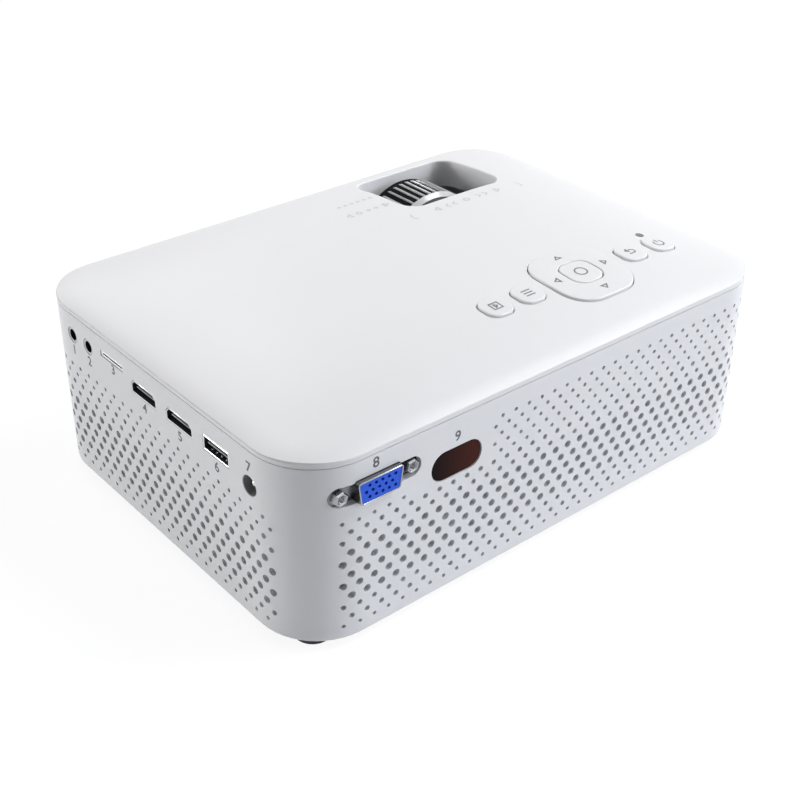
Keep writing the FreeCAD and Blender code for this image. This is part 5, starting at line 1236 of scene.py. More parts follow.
@dataclass
class KeyPad:
    """Round-cornered keys that follow the cover's crown, with plain pictograms."""

    form: CaseForm = CASE
    rise: float = 0.65 * MM
    foot: float = 1.7 * MM
    roll: float = 0.4 * MM
    centre_gap: float = 0.4 * MM
    ink: float = 0.03 * MM
    sign_half: float = 2.35 * MM
    line: float = 0.5 * MM
    arrow_place: float = 10.9 * MM

    def level(self, loop: Sequence[Point], rise: float) -> list[tuple[float, float, float]]:
        """A loop set above the crown."""
        return [(x, y, self.form.crown(x, y) + rise) for x, y in loop]

    def key(self, name: str, spot: KeySpot, body: str, node: str) -> None:
        """One solid key."""
        sculpt = Sculpt()
        rings = [self.level(spot.loop(0.0), -self.foot)]
        for step in range(6):
            angle = math.pi / 2 * step / 5
            inset = self.roll * (1 - math.cos(angle))
            rings.append(self.level(spot.loop(-inset), self.rise - self.roll * (1 - math.sin(angle))))
        for inset in (1.4 * MM, 2.4 * MM):
            rings.append(self.level(spot.loop(-inset), self.rise))
        sculpt.loft(rings)
        dress(sculpt.object(name, 40.0), WHITE_KEY, body, [node])

    def pad(self) -> None:
        """The direction pad with its middle hole."""
        sculpt = Sculpt()
        hole = self.centre_gap
        rings = [self.level(PAD.loop(0.0, 12), -self.foot)]
        for step in range(6):
            angle = math.pi / 2 * step / 5
            inset = self.roll * (1 - math.cos(angle))
            rings.append(self.level(PAD.loop(-inset, 12), self.rise - self.roll * (1 - math.sin(angle))))
        outer = PAD.loop(-self.roll, 12)
        inner = CENTRE.loop(hole + self.roll, 12)
        for share in (0.2, 0.4, 0.6, 0.8):
            blend = [(a[0] + (b[0] - a[0]) * share, a[1] + (b[1] - a[1]) * share) for a, b in zip(outer, inner)]
            rings.append(self.level(blend, self.rise))
        for step in range(6):
            angle = math.pi / 2 * (1 - step / 5)
            grow = hole + self.roll * (1 - math.cos(angle))
            rings.append(self.level(CENTRE.loop(grow, 12), self.rise - self.roll * (1 - math.sin(angle))))
        rings.append(self.level(CENTRE.loop(hole, 12), -self.foot))
        sculpt.loft([*rings, rings[0]], cap_start=False, cap_end=False)
        dress(sculpt.object("direction_pad", 40.0), WHITE_KEY, "nav_pad", ["nav_pad"])

    def sign(self, name: str, sign: Sign, along: float, back: float, half: float, body: str, line: float) -> None:
        """Print a sign on top of a key."""
        def lay(right: float, up: float) -> tuple[float, float, float]:
            """Place on the key's top."""
            x, y = along - right, back - up
            return (x, y, self.form.crown(x, y) + self.rise + self.ink)
        dress(draw_sign(name, sign, half, line, lay), GREY_INK, body)

    def build(self) -> None:
        """Make every key and print its sign."""
        half = self.sign_half
        keys = (
            ("source", SOURCE, Sign.SOURCE, 0.95), ("menu", MENU, Sign.BARS, 1.0),
            ("return", RETURN, Sign.RETURN, 1.0), ("power", POWER, Sign.POWER, 1.0),
        )
        for name, spot, sign, scale in keys:
            self.key(f"{name}_key_cap", spot, f"{name}_key", f"{name}_key")
            self.sign(f"{name}_sign", sign, spot.along, spot.back, half * scale, f"{name}_key", self.line)
        self.pad()
        self.key("centre_key_cap", CENTRE, "ok_key", "ok_key")
        self.sign("centre_sign", Sign.RING, CENTRE.along, CENTRE.back, 3.4 * MM, "ok_key", self.line)
        # the arrows' dark outlines stand in for the shade round embossed triangles: painted shade
        arrows = ((Sign.UP, 0, -1), (Sign.DOWN, 0, 1), (Sign.RIGHT, -1, 0), (Sign.LEFT, 1, 0))
        for sign, across, along in arrows:
            self.sign(f"arrow_{sign.name.lower()}", sign, PAD.along + across * self.arrow_place,
                      PAD.back + along * self.arrow_place, 1.5 * MM, "nav_pad", 0.5 * MM)


# ---------------------------------------------------------------------- labels


def numeral(name: str, text: str, size: float, weight: float, side: Side, middle: Point, out: float) -> bpy.types.Object:
    """Plain figures printed on a side.

    Args:
        name: object name.
        text: the figures.
        size: their height.
        weight: how far each stroke is thickened.
        side: side that they stand on.
        middle: where their middle is on the side.
        out: the print's distance from the origin along the side's outward axis.

    Returns:
        The print's object.
    """
    curve = bpy.data.curves.new(name, "FONT")
    curve.body = text
    curve.size = size * 1.4
    curve.offset = weight
    curve.align_x = "CENTER"
    curve.align_y = "CENTER"
    writer = bpy.data.objects.new(name, curve)
    bpy.context.scene.collection.objects.link(writer)
    mesh = evaluated_mesh(writer)
    bpy.data.objects.remove(writer)
    right, rise, _ = side.value
    origin = side.spot(middle[0], middle[1], out)
    for vertex in mesh.vertices:
        vertex.co = origin + right * vertex.co.x + rise * vertex.co.y
    return wrap_mesh(name, mesh)


@dataclass
class Labels:
    """Plain numbers beside the sockets."""

    form: CaseForm = CASE
    size: float = 3.3 * MM
    print_lift: float = 0.02 * MM
    weight: float = 0.10 * MM
    port_places: tuple[Point, ...] = (
        (-48.4 * MM, 50.3 * MM), (-38.5 * MM, 50.3 * MM), (-23.1 * MM, 54.3 * MM), (-5.2 * MM, 49.2 * MM),
        (14.5 * MM, 49.2 * MM), (33.8 * MM, 48.9 * MM), (50.0 * MM, 57.8 * MM),
    )
    rear_places: tuple[Point, ...] = ((73.0 * MM, 60.4 * MM), (43.2 * MM, 56.4 * MM))

    def build(self) -> None:
        """Print every number."""
        number = 0
        for side, places, out in (
            (Side.PORT, self.port_places, self.form.half_x), (Side.REAR, self.rear_places, self.form.half_y),
        ):
            for place in places:
                number += 1
                label = numeral(f"number_{number}", str(number), self.size, self.weight, side, place, out + self.print_lift)
                dress(label, LABEL_INK, "case")


# --------------------------------------------------------------------- sockets


def tube(sculpt: Sculpt, side: Side, outer: Sequence[Point], inner: Sequence[Point], middle: Point,
         front: float, back: float, soft: float) -> None:
    """Add a profiled tube with a softened mouth.

    Args:
        sculpt: mesh to add to.
        side: side that it opens on.
        outer: outer profile.
        inner: inner profile, with as many points.
        middle: its middle on the side.
        front: distance of its mouth along the outward axis.
        back: distance of its end.
        soft: size of the softened edge.
    """
    right, rise, outward = side.value
    origin = side.spot(middle[0], middle[1], 0.0)

    def ring(loop: Sequence[Point], share: float, out: float) -> list[Vector]:
        """A ring between the two profiles."""
        other = inner if loop is outer else outer
        return [origin + right * (a[0] + (b[0] - a[0]) * share) + rise * (a[1] + (b[1] - a[1]) * share) + outward * out
                for a, b in zip(loop, other)]

    rings = [
        ring(outer, 0.0, back), ring(outer, 0.0, front - soft), ring(outer, 0.3, front), ring(inner, 0.3, front),
        ring(inner, 0.0, front - soft), ring(inner, 0.0, back),
    ]
    sculpt.loft([*rings, rings[0]], cap_start=False, cap_end=False)


def block(sculpt: Sculpt, low: Sequence[float], high: Sequence[float], soft: float) -> None:
    """Add a box whose upright edges and top are softened."""
    middle_x, middle_y = (low[0] + high[0]) / 2, (low[1] + high[1]) / 2
    half_x, half_y = (high[0] - low[0]) / 2, (high[1] - low[1]) / 2
    full = shifted(rounded_loop(half_x, half_y, soft, 3), middle_x, middle_y)
    less = shifted(rounded_loop(half_x - soft / 2, half_y - soft / 2, soft / 2, 3), middle_x, middle_y)
    sculpt.loft([
        [(x, y, low[2]) for x, y in less], [(x, y, low[2] + soft / 2) for x, y in full],
        [(x, y, high[2] - soft / 2) for x, y in full], [(x, y, high[2]) for x, y in less],
    ])


@dataclass
class SideSockets:
    """Shells, tongues and contacts of the sockets on the +X wall."""

    openings: Openings
    wall: float = 98.97 * MM
    gap: float = 0.14 * MM
    rim: float = 0.52 * MM
    mouth: float = 0.03 * MM
    depth: float = 9.0 * MM

    def picture_shells(self) -> None:
        """Six-sided plated shells and their dark tongues."""
        shells = Sculpt()
        tongues = Sculpt()
        shade_linings = Sculpt()
        contacts = Sculpt()
        wide, tall, chamfer = self.openings.video_size
        for along in self.openings.video_places:
            outer = video_loop(wide - 2 * self.gap, tall - 2 * self.gap, chamfer)
            inner = video_loop(wide - 2 * self.rim, tall - 2 * self.rim, chamfer - 0.2 * MM)
            middle = (along, self.openings.video_height)
            tube(shells, Side.PORT, outer, inner, middle, self.wall + self.mouth, self.wall - self.depth, 0.12 * MM)
            low = (self.wall - self.depth, along - 4.9 * MM, middle[1] - 0.1 * MM)
            high = (self.wall - 0.6 * MM, along + 4.9 * MM, middle[1] + 0.3 * MM)
            block(tongues, low, high, 0.15 * MM)
            back = self.wall - self.depth
            # painted shade: a near-black back wall and lining inside the plated shell
            prism(shade_linings, Side.PORT, outer, middle, [(back, 0.99), (back + 0.5 * MM, 0.99)])
            lining = video_loop(wide - 2 * self.rim - 0.04 * MM, tall - 2 * self.rim - 0.04 * MM, chamfer - 0.2 * MM)
            thin = video_loop(wide - 2 * self.rim - 0.2 * MM, tall - 2 * self.rim - 0.2 * MM, chamfer - 0.2 * MM)
            tube(shade_linings, Side.PORT, lining, thin, middle, self.wall - 0.35 * MM, back, 0.04 * MM)
            for step in range(10):
                place = along - 4.5 * MM + step * 1.0 * MM
                block(contacts, (self.wall - 5.0 * MM, place - 0.2 * MM, high[2]),
                      (self.wall - 1.3 * MM, place + 0.2 * MM, high[2] + 0.08 * MM), 0.05 * MM)
        dress(shells.object("picture_shells"), BRIGHT_METAL, "case", ["video_shells"])
        dress(tongues.object("picture_tongues"), TONGUE_PLASTIC, "case", ["video_inserts"])
        dress(shade_linings.object("picture_linings"), BLACK_MOULDING_AND_HOLLOW_SHADE, "case")
        dress(contacts.object("picture_contacts"), GOLD, "case")

    def data_socket(self) -> None:
        """Plated data socket with sprung windows in its lid, dark inside by a painted-shade lining, and a dark tongue.
        """
        middle = self.openings.data_place
        half_y, half_z = (size / 2 for size in self.openings.data_size)
        shell = Sculpt()
        outer = rounded_loop(half_y, half_z, 0.4 * MM, 3)
        inner = rounded_loop(half_y - self.rim, half_z - self.rim, 0.2 * MM, 3)
        tube(shell, Side.PORT, outer, inner, middle, self.wall + self.mouth, self.wall - self.depth, 0.12 * MM)
        dress(shell.object("data_shell_plated"), BRIGHT_METAL, "case", ["data_shell"])
        # painted shade: a near-black back wall and lining inside the plated shell
        shade_block = Sculpt()
        back = self.wall - self.depth
        prism(shade_block, Side.PORT, inner, middle, [(back, 1.0), (back + 1.0 * MM, 1.0)])
        lining = rounded_loop(half_y - self.rim - 0.02 * MM, half_z - self.rim - 0.02 * MM, 0.2 * MM, 3)
        thin = rounded_loop(half_y - self.rim - 0.1 * MM, half_z - self.rim - 0.1 * MM, 0.2 * MM, 3)
        tube(shade_block, Side.PORT, lining, thin, middle, self.wall - 0.35 * MM, back, 0.04 * MM)
        dress(shade_block.object("data_lining"), BLACK_MOULDING_AND_HOLLOW_SHADE, "case")
        tongue = Sculpt()
        block(tongue, (back, middle[0] - 5.3 * MM, middle[1] - 0.2 * MM),
              (self.wall - 0.8 * MM, middle[0] + 5.3 * MM, middle[1] + 0.25 * MM), 0.15 * MM)
        dress(tongue.object("data_tongue"), TONGUE_PLASTIC, "case", ["data_insert"])
        strips = Sculpt()
        for step in range(4):
            place = middle[0] + (step - 1.5) * 2.4 * MM
            block(strips, (self.wall - 2.0 * MM, place - 0.3 * MM, middle[1] - 1.9 * MM),
                  (self.wall - 1.0 * MM, place + 0.3 * MM, middle[1] - 1.6 * MM), 0.1 * MM)
        dress(strips.object("data_contacts"), BRIGHT_METAL, "case")

    def card_slot(self) -> None:
        """Plated rim of the memory card slot round a narrow mouth, darkened by a painted-shade block behind it."""
        middle = self.openings.card_place
        half_y, half_z = (size / 2 for size in self.openings.card_size)
        shell = Sculpt()
        outer = rounded_loop(half_y, half_z, 0.3 * MM, 3)
        inner = shifted(rounded_loop(half_y - 0.85 * MM, 0.28 * MM, 0.1 * MM, 3), 0.3 * MM, 0.1 * MM)
        tube(shell, Side.PORT, outer, inner, middle, self.wall - 0.1 * MM, self.wall - 2.0 * MM, 0.1 * MM)
        dress(shell.object("card_rim"), BRIGHT_METAL, "case")
        # painted shade: a near-black block behind the slit
        mouth = Sculpt()
        prism(mouth, Side.PORT, outer, middle, [(self.wall - 2.6 * MM, 0.98), (self.wall - 2.1 * MM, 0.98)])
        dress(mouth.object("card_mouth"), BLACK_MOULDING_AND_HOLLOW_SHADE, "case")

    def round_jacks(self) -> None:
        """Grey rims, dark bores and contacts of the two plug sockets and the power inlet."""
        rims = Sculpt()
        bores = Sculpt()
        for along in self.openings.jack_places:
            middle = (along, self.openings.jack_height)
            outer, inner = circle_loop(2.7 * MM, 40), circle_loop(1.95 * MM, 40)
            tube(rims, Side.PORT, outer, inner, middle, self.wall - 0.08 * MM, self.wall - 1.0 * MM, 0.12 * MM)
            tube(bores, Side.PORT, circle_loop(1.96 * MM, 40), circle_loop(1.85 * MM, 40), middle,
                 self.wall - 0.18 * MM, self.wall - 11.0 * MM, 0.04 * MM)
            prism(bores, Side.PORT, circle_loop(2.6 * MM, 24), middle,
                  [(self.wall - 11.5 * MM, 1.0), (self.wall - 11.0 * MM, 1.0)])
        dress(rims.object("jack_rims"), GREY_RIM, "case")
        dress(bores.object("jack_bores"), BLACK_MOULDING_AND_HOLLOW_SHADE, "case", ["headphone_jack", "av_jack"])
        inlet = Sculpt()
        middle = self.openings.power_place
        tube(inlet, Side.PORT, circle_loop(3.28 * MM, 48), circle_loop(3.15 * MM, 48), middle,
             self.wall - 0.3 * MM, self.wall - 9.0 * MM, 0.05 * MM)
        prism(inlet, Side.PORT, circle_loop(3.1 * MM, 48), middle,
              [(self.wall - 6.0 * MM, 1.0), (self.wall - 2.6 * MM, 1.0)])
        dress(inlet.object("power_inlet"), INLET_GREY, "case", ["power_jack"])
        pin = Sculpt()
        prism(pin, Side.PORT, circle_loop(0.95 * MM, 24), middle, [
            (self.wall - 5.6 * MM, 1.0), (self.wall - 1.7 * MM, 1.0), (self.wall - 1.4 * MM, 0.8), (self.wall - 1.25 * MM, 0.45),
        ])
        for turn in range(3):
            angle = math.radians(90 + 120 * turn)
            leaf = (middle[0] + 1.95 * MM * math.cos(angle), middle[1] + 1.95 * MM * math.sin(angle))
            prism(pin, Side.PORT, circle_loop(0.45 * MM, 12), leaf, [
                (self.wall - 5.6 * MM, 1.0), (self.wall - 2.2 * MM, 1.0), (self.wall - 1.9 * MM, 0.7),
            ])
        dress(pin.object("power_pin"), BRIGHT_METAL, "case")

    def build(self) -> None:
        """Make every socket of the side."""
        self.picture_shells()
        self.data_socket()
        self.card_slot()
        self.round_jacks()


@dataclass
class BackSockets:
    """Analog picture socket and remote window on the rear."""

    openings: Openings
    analog: Point = (72.3 * MM, 53.2 * MM)
    spacing: float = 24.99 * MM
    face: float = 73.0 * MM
    sink: float = 2.4 * MM
    plate_size: Point = (30.6 * MM, 8.6 * MM)
    shell_proud: float = 1.6 * MM
    shell_wall: float = 0.45 * MM
    hole_radius: float = 0.56 * MM
    hole_pitch: float = 2.27 * MM
    row_pitch: float = 1.9 * MM
    hex_reach: float = 2.4 * MM
    hex_proud: float = 0.1 * MM
    window_place: Point = (43.2 * MM, 48.0 * MM)
    window_half: Point = (9.55 * MM, 4.85 * MM)
    window_face: float = 72.6 * MM

    def plate(self) -> None:
        """Plated flange at the pocket's floor, with the shell, in a dark copy of the plating as painted shade."""
        sculpt = Sculpt()
        wide, tall = self.plate_size
        loop = rounded_loop(wide / 2, tall / 2, tall / 2 - 0.01 * MM, 12)
        floor = self.face - self.sink
        prism(sculpt, Side.REAR, loop, self.analog, [(floor - 0.8 * MM, 1.0), (floor - 0.1 * MM, 1.0), (floor, 0.99)])
        mouth = self.face + self.shell_proud
        outer, inner = self.openings.shell_loop(0.0), self.openings.shell_loop(-self.shell_wall)
        tube(sculpt, Side.REAR, outer, inner, self.analog, mouth - 0.3 * MM, floor, 0.05 * MM)
        dress(sculpt.object("analog_shell_plated"), PLATING_PAINTED_SHADE, "case", ["analog_shell"])
        # the mouth's rim takes a lighter metal than the shell: painted highlight
        rim = Sculpt()
        tube(rim, Side.REAR, outer, inner, self.analog, mouth, mouth - 0.3 * MM, 0.16 * MM)
        dress(rim.object("analog_shell_rim"), SCREW_METAL, "case")

    def insert(self) -> None:
        """Blue insulator with fifteen contact holes in three rows."""
        blank = Sculpt()
        front = self.face + self.shell_proud - 0.25 * MM
        loop = self.openings.shell_loop(-self.shell_wall - 0.01 * MM)
        prism(blank, Side.REAR, loop, self.analog, [(self.face - self.sink, 1.0), (front, 1.0)])
        holes = Sculpt()
        floors = Sculpt()
        for row in range(3):
            shift = 0.5 * self.hole_pitch * (-0.5 if row != 1 else 0.5)
            for column in range(5):
                across = self.analog[0] + (column - 2) * self.hole_pitch + shift
                height = self.analog[1] + (row - 1) * self.row_pitch
                prism(holes, Side.REAR, circle_loop(self.hole_radius, 16), (across, height),
                      [(front - 2.0 * MM, 1.0), (front + 1.0 * MM, 1.0)])
                # painted shade: deep blue floors at the bottom of the contact holes
                prism(floors, Side.REAR, circle_loop(self.hole_radius * 1.02, 16), (across, height),
                      [(front - 2.05 * MM, 1.0), (front - 0.6 * MM, 1.0)])
        body = carve(blank.object("analog_insulator"), [holes.object("contact_holes")])
        dress(body, BLUE_PLASTIC, "case", ["analog_insert"])
        dress(floors.object("contact_wells"), HOLE_SHADE_BLUE, "case")

    def jackscrews(self) -> None:
        """Six-sided standoffs with a threaded hole, and the clinched feet beneath them."""
        metal = Sculpt()
        floor = self.face - self.sink
        for sign in (-1, 1):
            middle = (self.analog[0] + sign * self.spacing / 2, self.analog[1])
            hexagon = [(self.hex_reach * math.cos(math.radians(60 * n + 12)),
                        self.hex_reach * math.sin(math.radians(60 * n + 12))) for n in range(6)]
            bore = [(1.35 * MM * math.cos(math.radians(60 * n + 12)),
                     1.35 * MM * math.sin(math.radians(60 * n + 12))) for n in range(6)]
            tube(metal, Side.REAR, hexagon, bore, middle, self.face + self.hex_proud, floor, 0.5 * MM)
            for turn in range(4):
                out = self.face + self.hex_proud - 0.3 * MM - turn * 0.5 * MM
                tube(metal, Side.REAR, circle_loop(1.5 * MM, 24), circle_loop(1.12 * MM, 24), middle,
                     out, out - 0.34 * MM, 0.12 * MM)
            prism(metal, Side.REAR, circle_loop(1.4 * MM, 24), middle, [(floor, 1.0), (floor + 0.3 * MM, 1.0)])
        dress(metal.object("jackscrews_hex", 20.0), SCREW_METAL, "case", ["analog_jackscrews"])

    def window(self) -> None:
        """The remote window's pane, with a softly rounded edge."""
        sculpt = Sculpt()
        half_x, half_z = self.window_half
        loop = rounded_loop(half_x, half_z, half_z - 0.01 * MM, 16)
        face = self.window_face
        depths = [(face - 2.2 * MM, 1.0), (face - 0.12 * MM, 1.0), (face, 0.99)]
        prism(sculpt, Side.REAR, loop, self.window_place, depths)
        dress(sculpt.object("remote_pane"), RED_FILTER, "case", ["remote_window"])

    def build(self) -> None:
        """Make the rear's pieces."""
        self.plate()
        self.insert()
        self.jackscrews()
        self.window()


# ------------------------------------------------------------------------ lens


@dataclass
class FocusRing:
    """Black focus ring with ribs set round it and a bevelled end, both painted light grey as painted highlights."""

    axis: Point = (-47.0 * MM, 45.0 * MM)
    front: float = -60.0 * MM
    back: float = -39.0 * MM
    radius: float = 22.0 * MM
    rib_height: float = 0.75 * MM
    rib_width: float = 0.62 * MM
    rib_start: float = 2.2 * MM
    bore: float = 15.6 * MM
    bevel: float = 3.6 * MM
    ribs: int = 48

    def turned(self, name: str, profile: Sequence[Point], steps: int = 96) -> bpy.types.Object:
        """A closed profile of (place along the axis, radius) turned round the lens axis."""
        sculpt = Sculpt()
        rings = []
        for along, radius in profile:
            rings.append([(self.axis[0] + x, along, self.axis[1] + z) for x, z in circle_loop(radius, steps)])
        sculpt.loft([*rings, rings[0]], cap_start=False, cap_end=False)
        return sculpt.object(name, 32.0)

    def rib(self) -> bpy.types.Object:
        """One rib at the top of the ring, with rounded shoulders."""
        sculpt = Sculpt()
        half = self.rib_width / 2
        root = self.radius - self.rib_height - 0.3 * MM
        arch = [(half, root), (half, self.radius - 0.4 * MM), (half * 0.6, self.radius - 0.08 * MM), (0.0, self.radius),
                (-half * 0.6, self.radius - 0.08 * MM), (-half, self.radius - 0.4 * MM), (-half, root)]
        begin = self.front + self.rib_start
        ends = ((begin, self.rib_height), (begin + 1.6 * MM, 0.0),
                (self.back - self.bevel - 0.1 * MM, 0.0), (self.back - self.bevel + 0.1 * MM, 0.3 * MM))
        sculpt.loft([[(x, along, z - drop) for x, z in arch] for along, drop in ends])
        return sculpt.object("rib")

    def rib_tree(self) -> bpy.types.NodeTree:
        """Node group that sets copies of one rib round an axis that runs along Y."""
        tree = bpy.data.node_groups.new("ribs_round_axis", "GeometryNodeTree")
        face = tree.interface
        face.new_socket("Geometry", in_out="INPUT", socket_type="NodeSocketGeometry")
        face.new_socket("Geometry", in_out="OUTPUT", socket_type="NodeSocketGeometry")
        face.new_socket("Count", in_out="INPUT", socket_type="NodeSocketInt")
        face.new_socket("Centre", in_out="INPUT", socket_type="NodeSocketVector")
        face.new_socket("Material", in_out="INPUT", socket_type="NodeSocketMaterial")
        graph = Graph(tree)
        given = graph.node("NodeGroupInput")
        places = graph.node("GeometryNodeMeshLine", {"mode": "OFFSET"}, {
            "Count": given.outputs["Count"], "Start Location": given.outputs["Centre"], "Offset": (0.0, 0.0, 0.0),
        })
        index = graph.out(graph.node("GeometryNodeInputIndex"))
        angle = index * (2 * math.pi) / Wire(graph, given.outputs["Count"])
        turn = graph.node("ShaderNodeCombineXYZ", None, {1: angle})
        copies = graph.node("GeometryNodeInstanceOnPoints", None, {
            "Points": places.outputs[0], "Instance": given.outputs["Geometry"], "Rotation": turn.outputs[0],
        })
        real = graph.node("GeometryNodeRealizeInstances", None, {"Geometry": copies.outputs[0]})
        coloured = graph.node("GeometryNodeSetMaterial", None, {
            "Geometry": real.outputs[0], "Material": given.outputs["Material"],
        })
        graph.node("NodeGroupOutput", None, {"Geometry": coloured.outputs[0]})
        return tree

    def ribs_round(self) -> bpy.types.Object:
        """All ribs as one mesh."""
        rib = self.rib()
        tree = self.rib_tree()
        values = {"Count": self.ribs, "Centre": (self.axis[0], 0.0, self.axis[1]), "Material": RING_HIGHLIGHT_GREY.material()}
        modifier = rib.modifiers.new("ribs", "NODES")
        modifier.node_group = tree
        for item in tree.interface.items_tree:
            if item.in_out == "INPUT" and item.name in values:
                modifier[item.identifier] = values[item.name]
        rib.update_tag()
        settle(rib, 40.0)
        rib.name = "ring_ribs"
        return rib

    def build(self) -> None:
        """Make the ring."""
        core = self.radius - self.rib_height
        drum = [(self.front, self.bore), (self.front, core - 0.4 * MM), (self.front + 0.4 * MM, core),
                (self.back - self.bevel + 0.6 * MM, core), (self.back - self.bevel + 0.6 * MM, self.bore)]
        dress(self.turned("ring_drum", drum), RING_BLACK, "focus_ring", ["focus_ring"])
        start = self.back - self.bevel
        rim = [(start, self.bore), (start, self.radius - 0.4 * MM), (start + 0.3 * MM, self.radius),
               (start + 0.7 * MM, self.radius - 0.1 * MM), (start + 2.0 * MM, self.radius - 1.5 * MM),
               (start + 2.0 * MM, self.bore)]
        # the bevel is painted light grey: a painted highlight on the black ring
        dress(self.turned("ring_bevel", rim), RING_HIGHLIGHT_GREY, "focus_ring")
        collar = [(start + 2.0 * MM, self.bore), (start + 2.0 * MM, self.radius - 1.6 * MM),
                  (self.back - 0.2 * MM, self.radius - 4.6 * MM), (self.back, self.radius - 4.8 * MM),
                  (self.back, self.bore)]
        dress(self.turned("ring_collar", collar), COLLAR_GREY, "focus_ring")
        dress(self.ribs_round(), RING_HIGHLIGHT_GREY, "focus_ring")


@dataclass
class CoverMarks:
    """Raised plain arrows and bars moulded beside the finger opening, painted grey as painted shade of their relief."""

    form: CaseForm = CASE
    lift: float = 0.05 * MM
    line: float = 0.5 * MM

    def mark(self, name: str, sign: Sign, along: float, back: float, half: float) -> None:
        """One mark on the crown."""
        def lay(right: float, up: float) -> tuple[float, float, float]:
            """Place on the crown."""
            x, y = along - right, back - up
            return (x, y, self.form.crown(x, y) + self.lift)
        dress(draw_sign(name, sign, half, self.line, lay), MARK_RELIEF_SHADE, "case")

    def build(self) -> None:
        """Two short rows beside the opening and a long one behind it."""
        places = [(Sign.DASH, -8.0 - 2.8 * step, -47.7, 1.3) for step in range(6)]
        places += [(Sign.LEFT, -5.5, -38.4, 1.6), (Sign.RING, -9.8, -38.4, 1.6), (Sign.DASH, -14.0, -38.4, 1.6)]
        places += [(Sign.DASH, -17.4, -38.4, 1.6), (Sign.RIGHT, -22.0, -38.4, 1.6)]
        places += [
            (Sign.OPEN_ARC, -28.0, -23.2, 2.4), (Sign.LEFT, -33.2, -23.2, 1.7), (Sign.CHEVRON_LEFT, -38.2, -23.2, 1.7),
            (Sign.CHEVRON_LEFT, -41.4, -23.2, 1.7), (Sign.RING, -47.0, -23.2, 1.7), (Sign.CHEVRON_RIGHT, -52.8, -23.2, 1.7),
            (Sign.CHEVRON_RIGHT, -56.0, -23.2, 1.7), (Sign.RIGHT, -62.0, -23.2, 1.7), (Sign.CLOSE_ARC, -67.2, -23.2, 2.4),
        ]
        for number, (sign, along, back, half) in enumerate(places):
            self.mark(f"cover_mark_{number}", sign, along * MM, back * MM, half * MM)


# ---------------------------------------------------------------------- studio


@dataclass(frozen=True)
class Softbox:
    """A rectangular lamp."""

    name: str
    place: tuple[float, float, float]
    size: tuple[float, float]
    power: float
    colour: tuple[float, float, float] = (1.0, 1.0, 1.0)


def shown_to_view(graph: Graph, path: bpy.types.Node) -> Wire:
    """1 for rays that come from the camera or from gloss or glass, 0 for the rest."""
    glass = graph.math("MAXIMUM", Wire(graph, path.outputs["Is Glossy Ray"]), path.outputs["Is Transmission Ray"])
    return graph.math("MAXIMUM", glass, path.outputs["Is Camera Ray"])


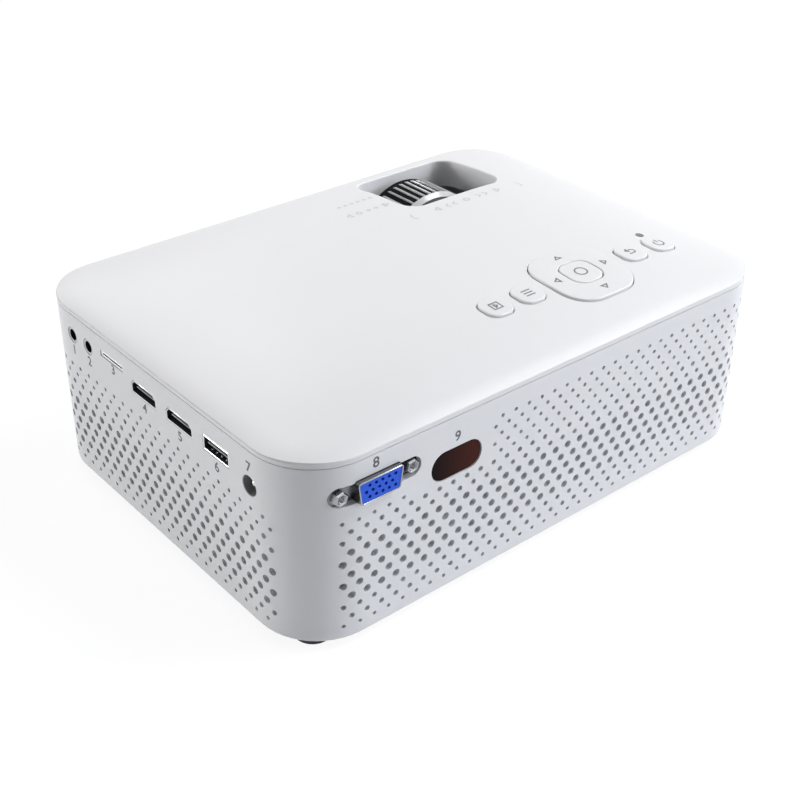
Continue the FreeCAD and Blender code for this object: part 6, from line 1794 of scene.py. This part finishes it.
@dataclass
class Studio:
    """Camera, lamps and white surroundings."""

    camera_place: tuple[float, float, float] = (0.26029, 0.30326, 0.26698)
    right: tuple[float, float, float] = (-0.76658, 0.64207, 0.01027)
    down: tuple[float, float, float] = (0.33521, 0.41377, -0.84642)
    forward: tuple[float, float, float] = (-0.54771, -0.64541, -0.53241)
    lens: float = 60.41
    softboxes: tuple[Softbox, ...] = (
        Softbox("top_lamp", (0.10, 0.10, 1.70), (1.2, 1.2), 3.0),
        Softbox("front_lamp", (-0.30, -1.50, 1.20), (1.2, 0.9), 7.5),
        Softbox("right_lamp", (-0.55, 0.25, 0.75), (0.5, 0.5), 5.8),
        Softbox("rear_lamp", (-1.45, 1.70, 1.00), (1.4, 1.0), 26.0, (0.88, 0.91, 1.0)),
        Softbox("port_lamp", (1.80, -1.60, 0.30), (1.3, 1.0), 38.0),
    )
    fill: float = 0.05
    floor_half: float = 3.0

    def camera(self) -> None:
        """Set the camera."""
        data = bpy.data.cameras.new("camera")
        data.lens = self.lens
        data.sensor_width = 36.0
        data.clip_start = 0.01
        thing = bpy.data.objects.new("camera", data)
        axes = (Vector(self.right), -Vector(self.down), -Vector(self.forward))
        turn = Matrix((axes[0], axes[1], axes[2])).transposed()
        thing.matrix_world = Matrix.Translation(Vector(self.camera_place)) @ turn.to_4x4()
        bpy.context.scene.collection.objects.link(thing)
        bpy.context.scene.camera = thing

    def lamps(self) -> None:
        """Set the lamps, each turned to the object's middle."""
        for box in self.softboxes:
            data = bpy.data.lights.new(box.name, "AREA")
            data.shape = "RECTANGLE"
            data.size, data.size_y = box.size
            data.energy = box.power
            data.color = box.colour
            thing = bpy.data.objects.new(box.name, data)
            thing.location = box.place
            aim = Vector((0, 0, 0.04)) - Vector(box.place)
            thing.rotation_euler = aim.to_track_quat("-Z", "Y").to_euler()
            bpy.context.scene.collection.objects.link(thing)

    def surroundings(self) -> None:
        """White to the camera, a soft fill to everything else."""
        world = bpy.data.worlds.new("surroundings")
        world.use_nodes = True
        world.node_tree.nodes.clear()
        graph = Graph(world.node_tree)
        path = graph.node("ShaderNodeLightPath")
        strength = shown_to_view(graph, path) * (1.0 - self.fill) + self.fill
        glow = graph.node("ShaderNodeBackground", None, {"Color": (1, 1, 1, 1), "Strength": strength})
        graph.node("ShaderNodeOutputWorld", None, {"Surface": glow.outputs[0]})
        bpy.context.scene.world = world

    def floor(self) -> None:
        """Pale floor that keeps a faint shadow."""
        sculpt = Sculpt()
        half = self.floor_half
        sculpt.ring([(-half, -half, 0.0), (half, -half, 0.0), (half, half, 0.0), (-half, half, 0.0)])
        sculpt.faces = [(0, 1, 2, 3)]
        thing = sculpt.object("pale_floor")
        made = bpy.data.materials.new("pale_floor")
        made.use_nodes = True
        made.node_tree.nodes.clear()
        graph = Graph(made.node_tree)
        path = graph.node("ShaderNodeLightPath")
        plain = graph.node("ShaderNodeBsdfDiffuse", None, {"Color": (0.86, 0.86, 0.86, 1.0)})
        glow = graph.node("ShaderNodeEmission", None, {"Color": (1, 1, 1, 1), "Strength": 1.12})
        mix = graph.node("ShaderNodeMixShader", None, {0: shown_to_view(graph, path) * 0.8, 1: plain.outputs[0], 2: glow.outputs[0]})
        graph.node("ShaderNodeOutputMaterial", None, {"Surface": mix.outputs[0]})
        thing.data.materials.append(made)

    def build(self) -> None:
        """Set the whole studio."""
        self.floor()
        self.camera()
        self.lamps()
        self.surroundings()
        bpy.context.scene.view_settings.view_transform = "Standard"


def dress_frame(nodes: dict[str, bpy.types.Object]) -> None:
    """Give every shown node of the frame its finish."""
    for finish, names in NODE_FINISHES.items():
        for name in names:
            node = nodes[name]
            node.data.materials.clear()
            node.data.materials.append(finish.material())
            LOG.info("%s: %s", name, finish.name)


def main() -> None:
    """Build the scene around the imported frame."""
    logging.basicConfig(level=logging.INFO, format="%(name)s: %(message)s")
    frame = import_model()
    dress_frame(frame["nodes"])
    openings = Openings()
    PerforatedShell().build(openings.cutters())
    CrownedCover().build()
    CoverMarks().build()
    KeyPad().build()
    SideSockets(openings).build()
    BackSockets(openings).build()
    FocusRing().build()
    Labels().build()
    Studio().build()


if __name__ == "__main__":
    main()
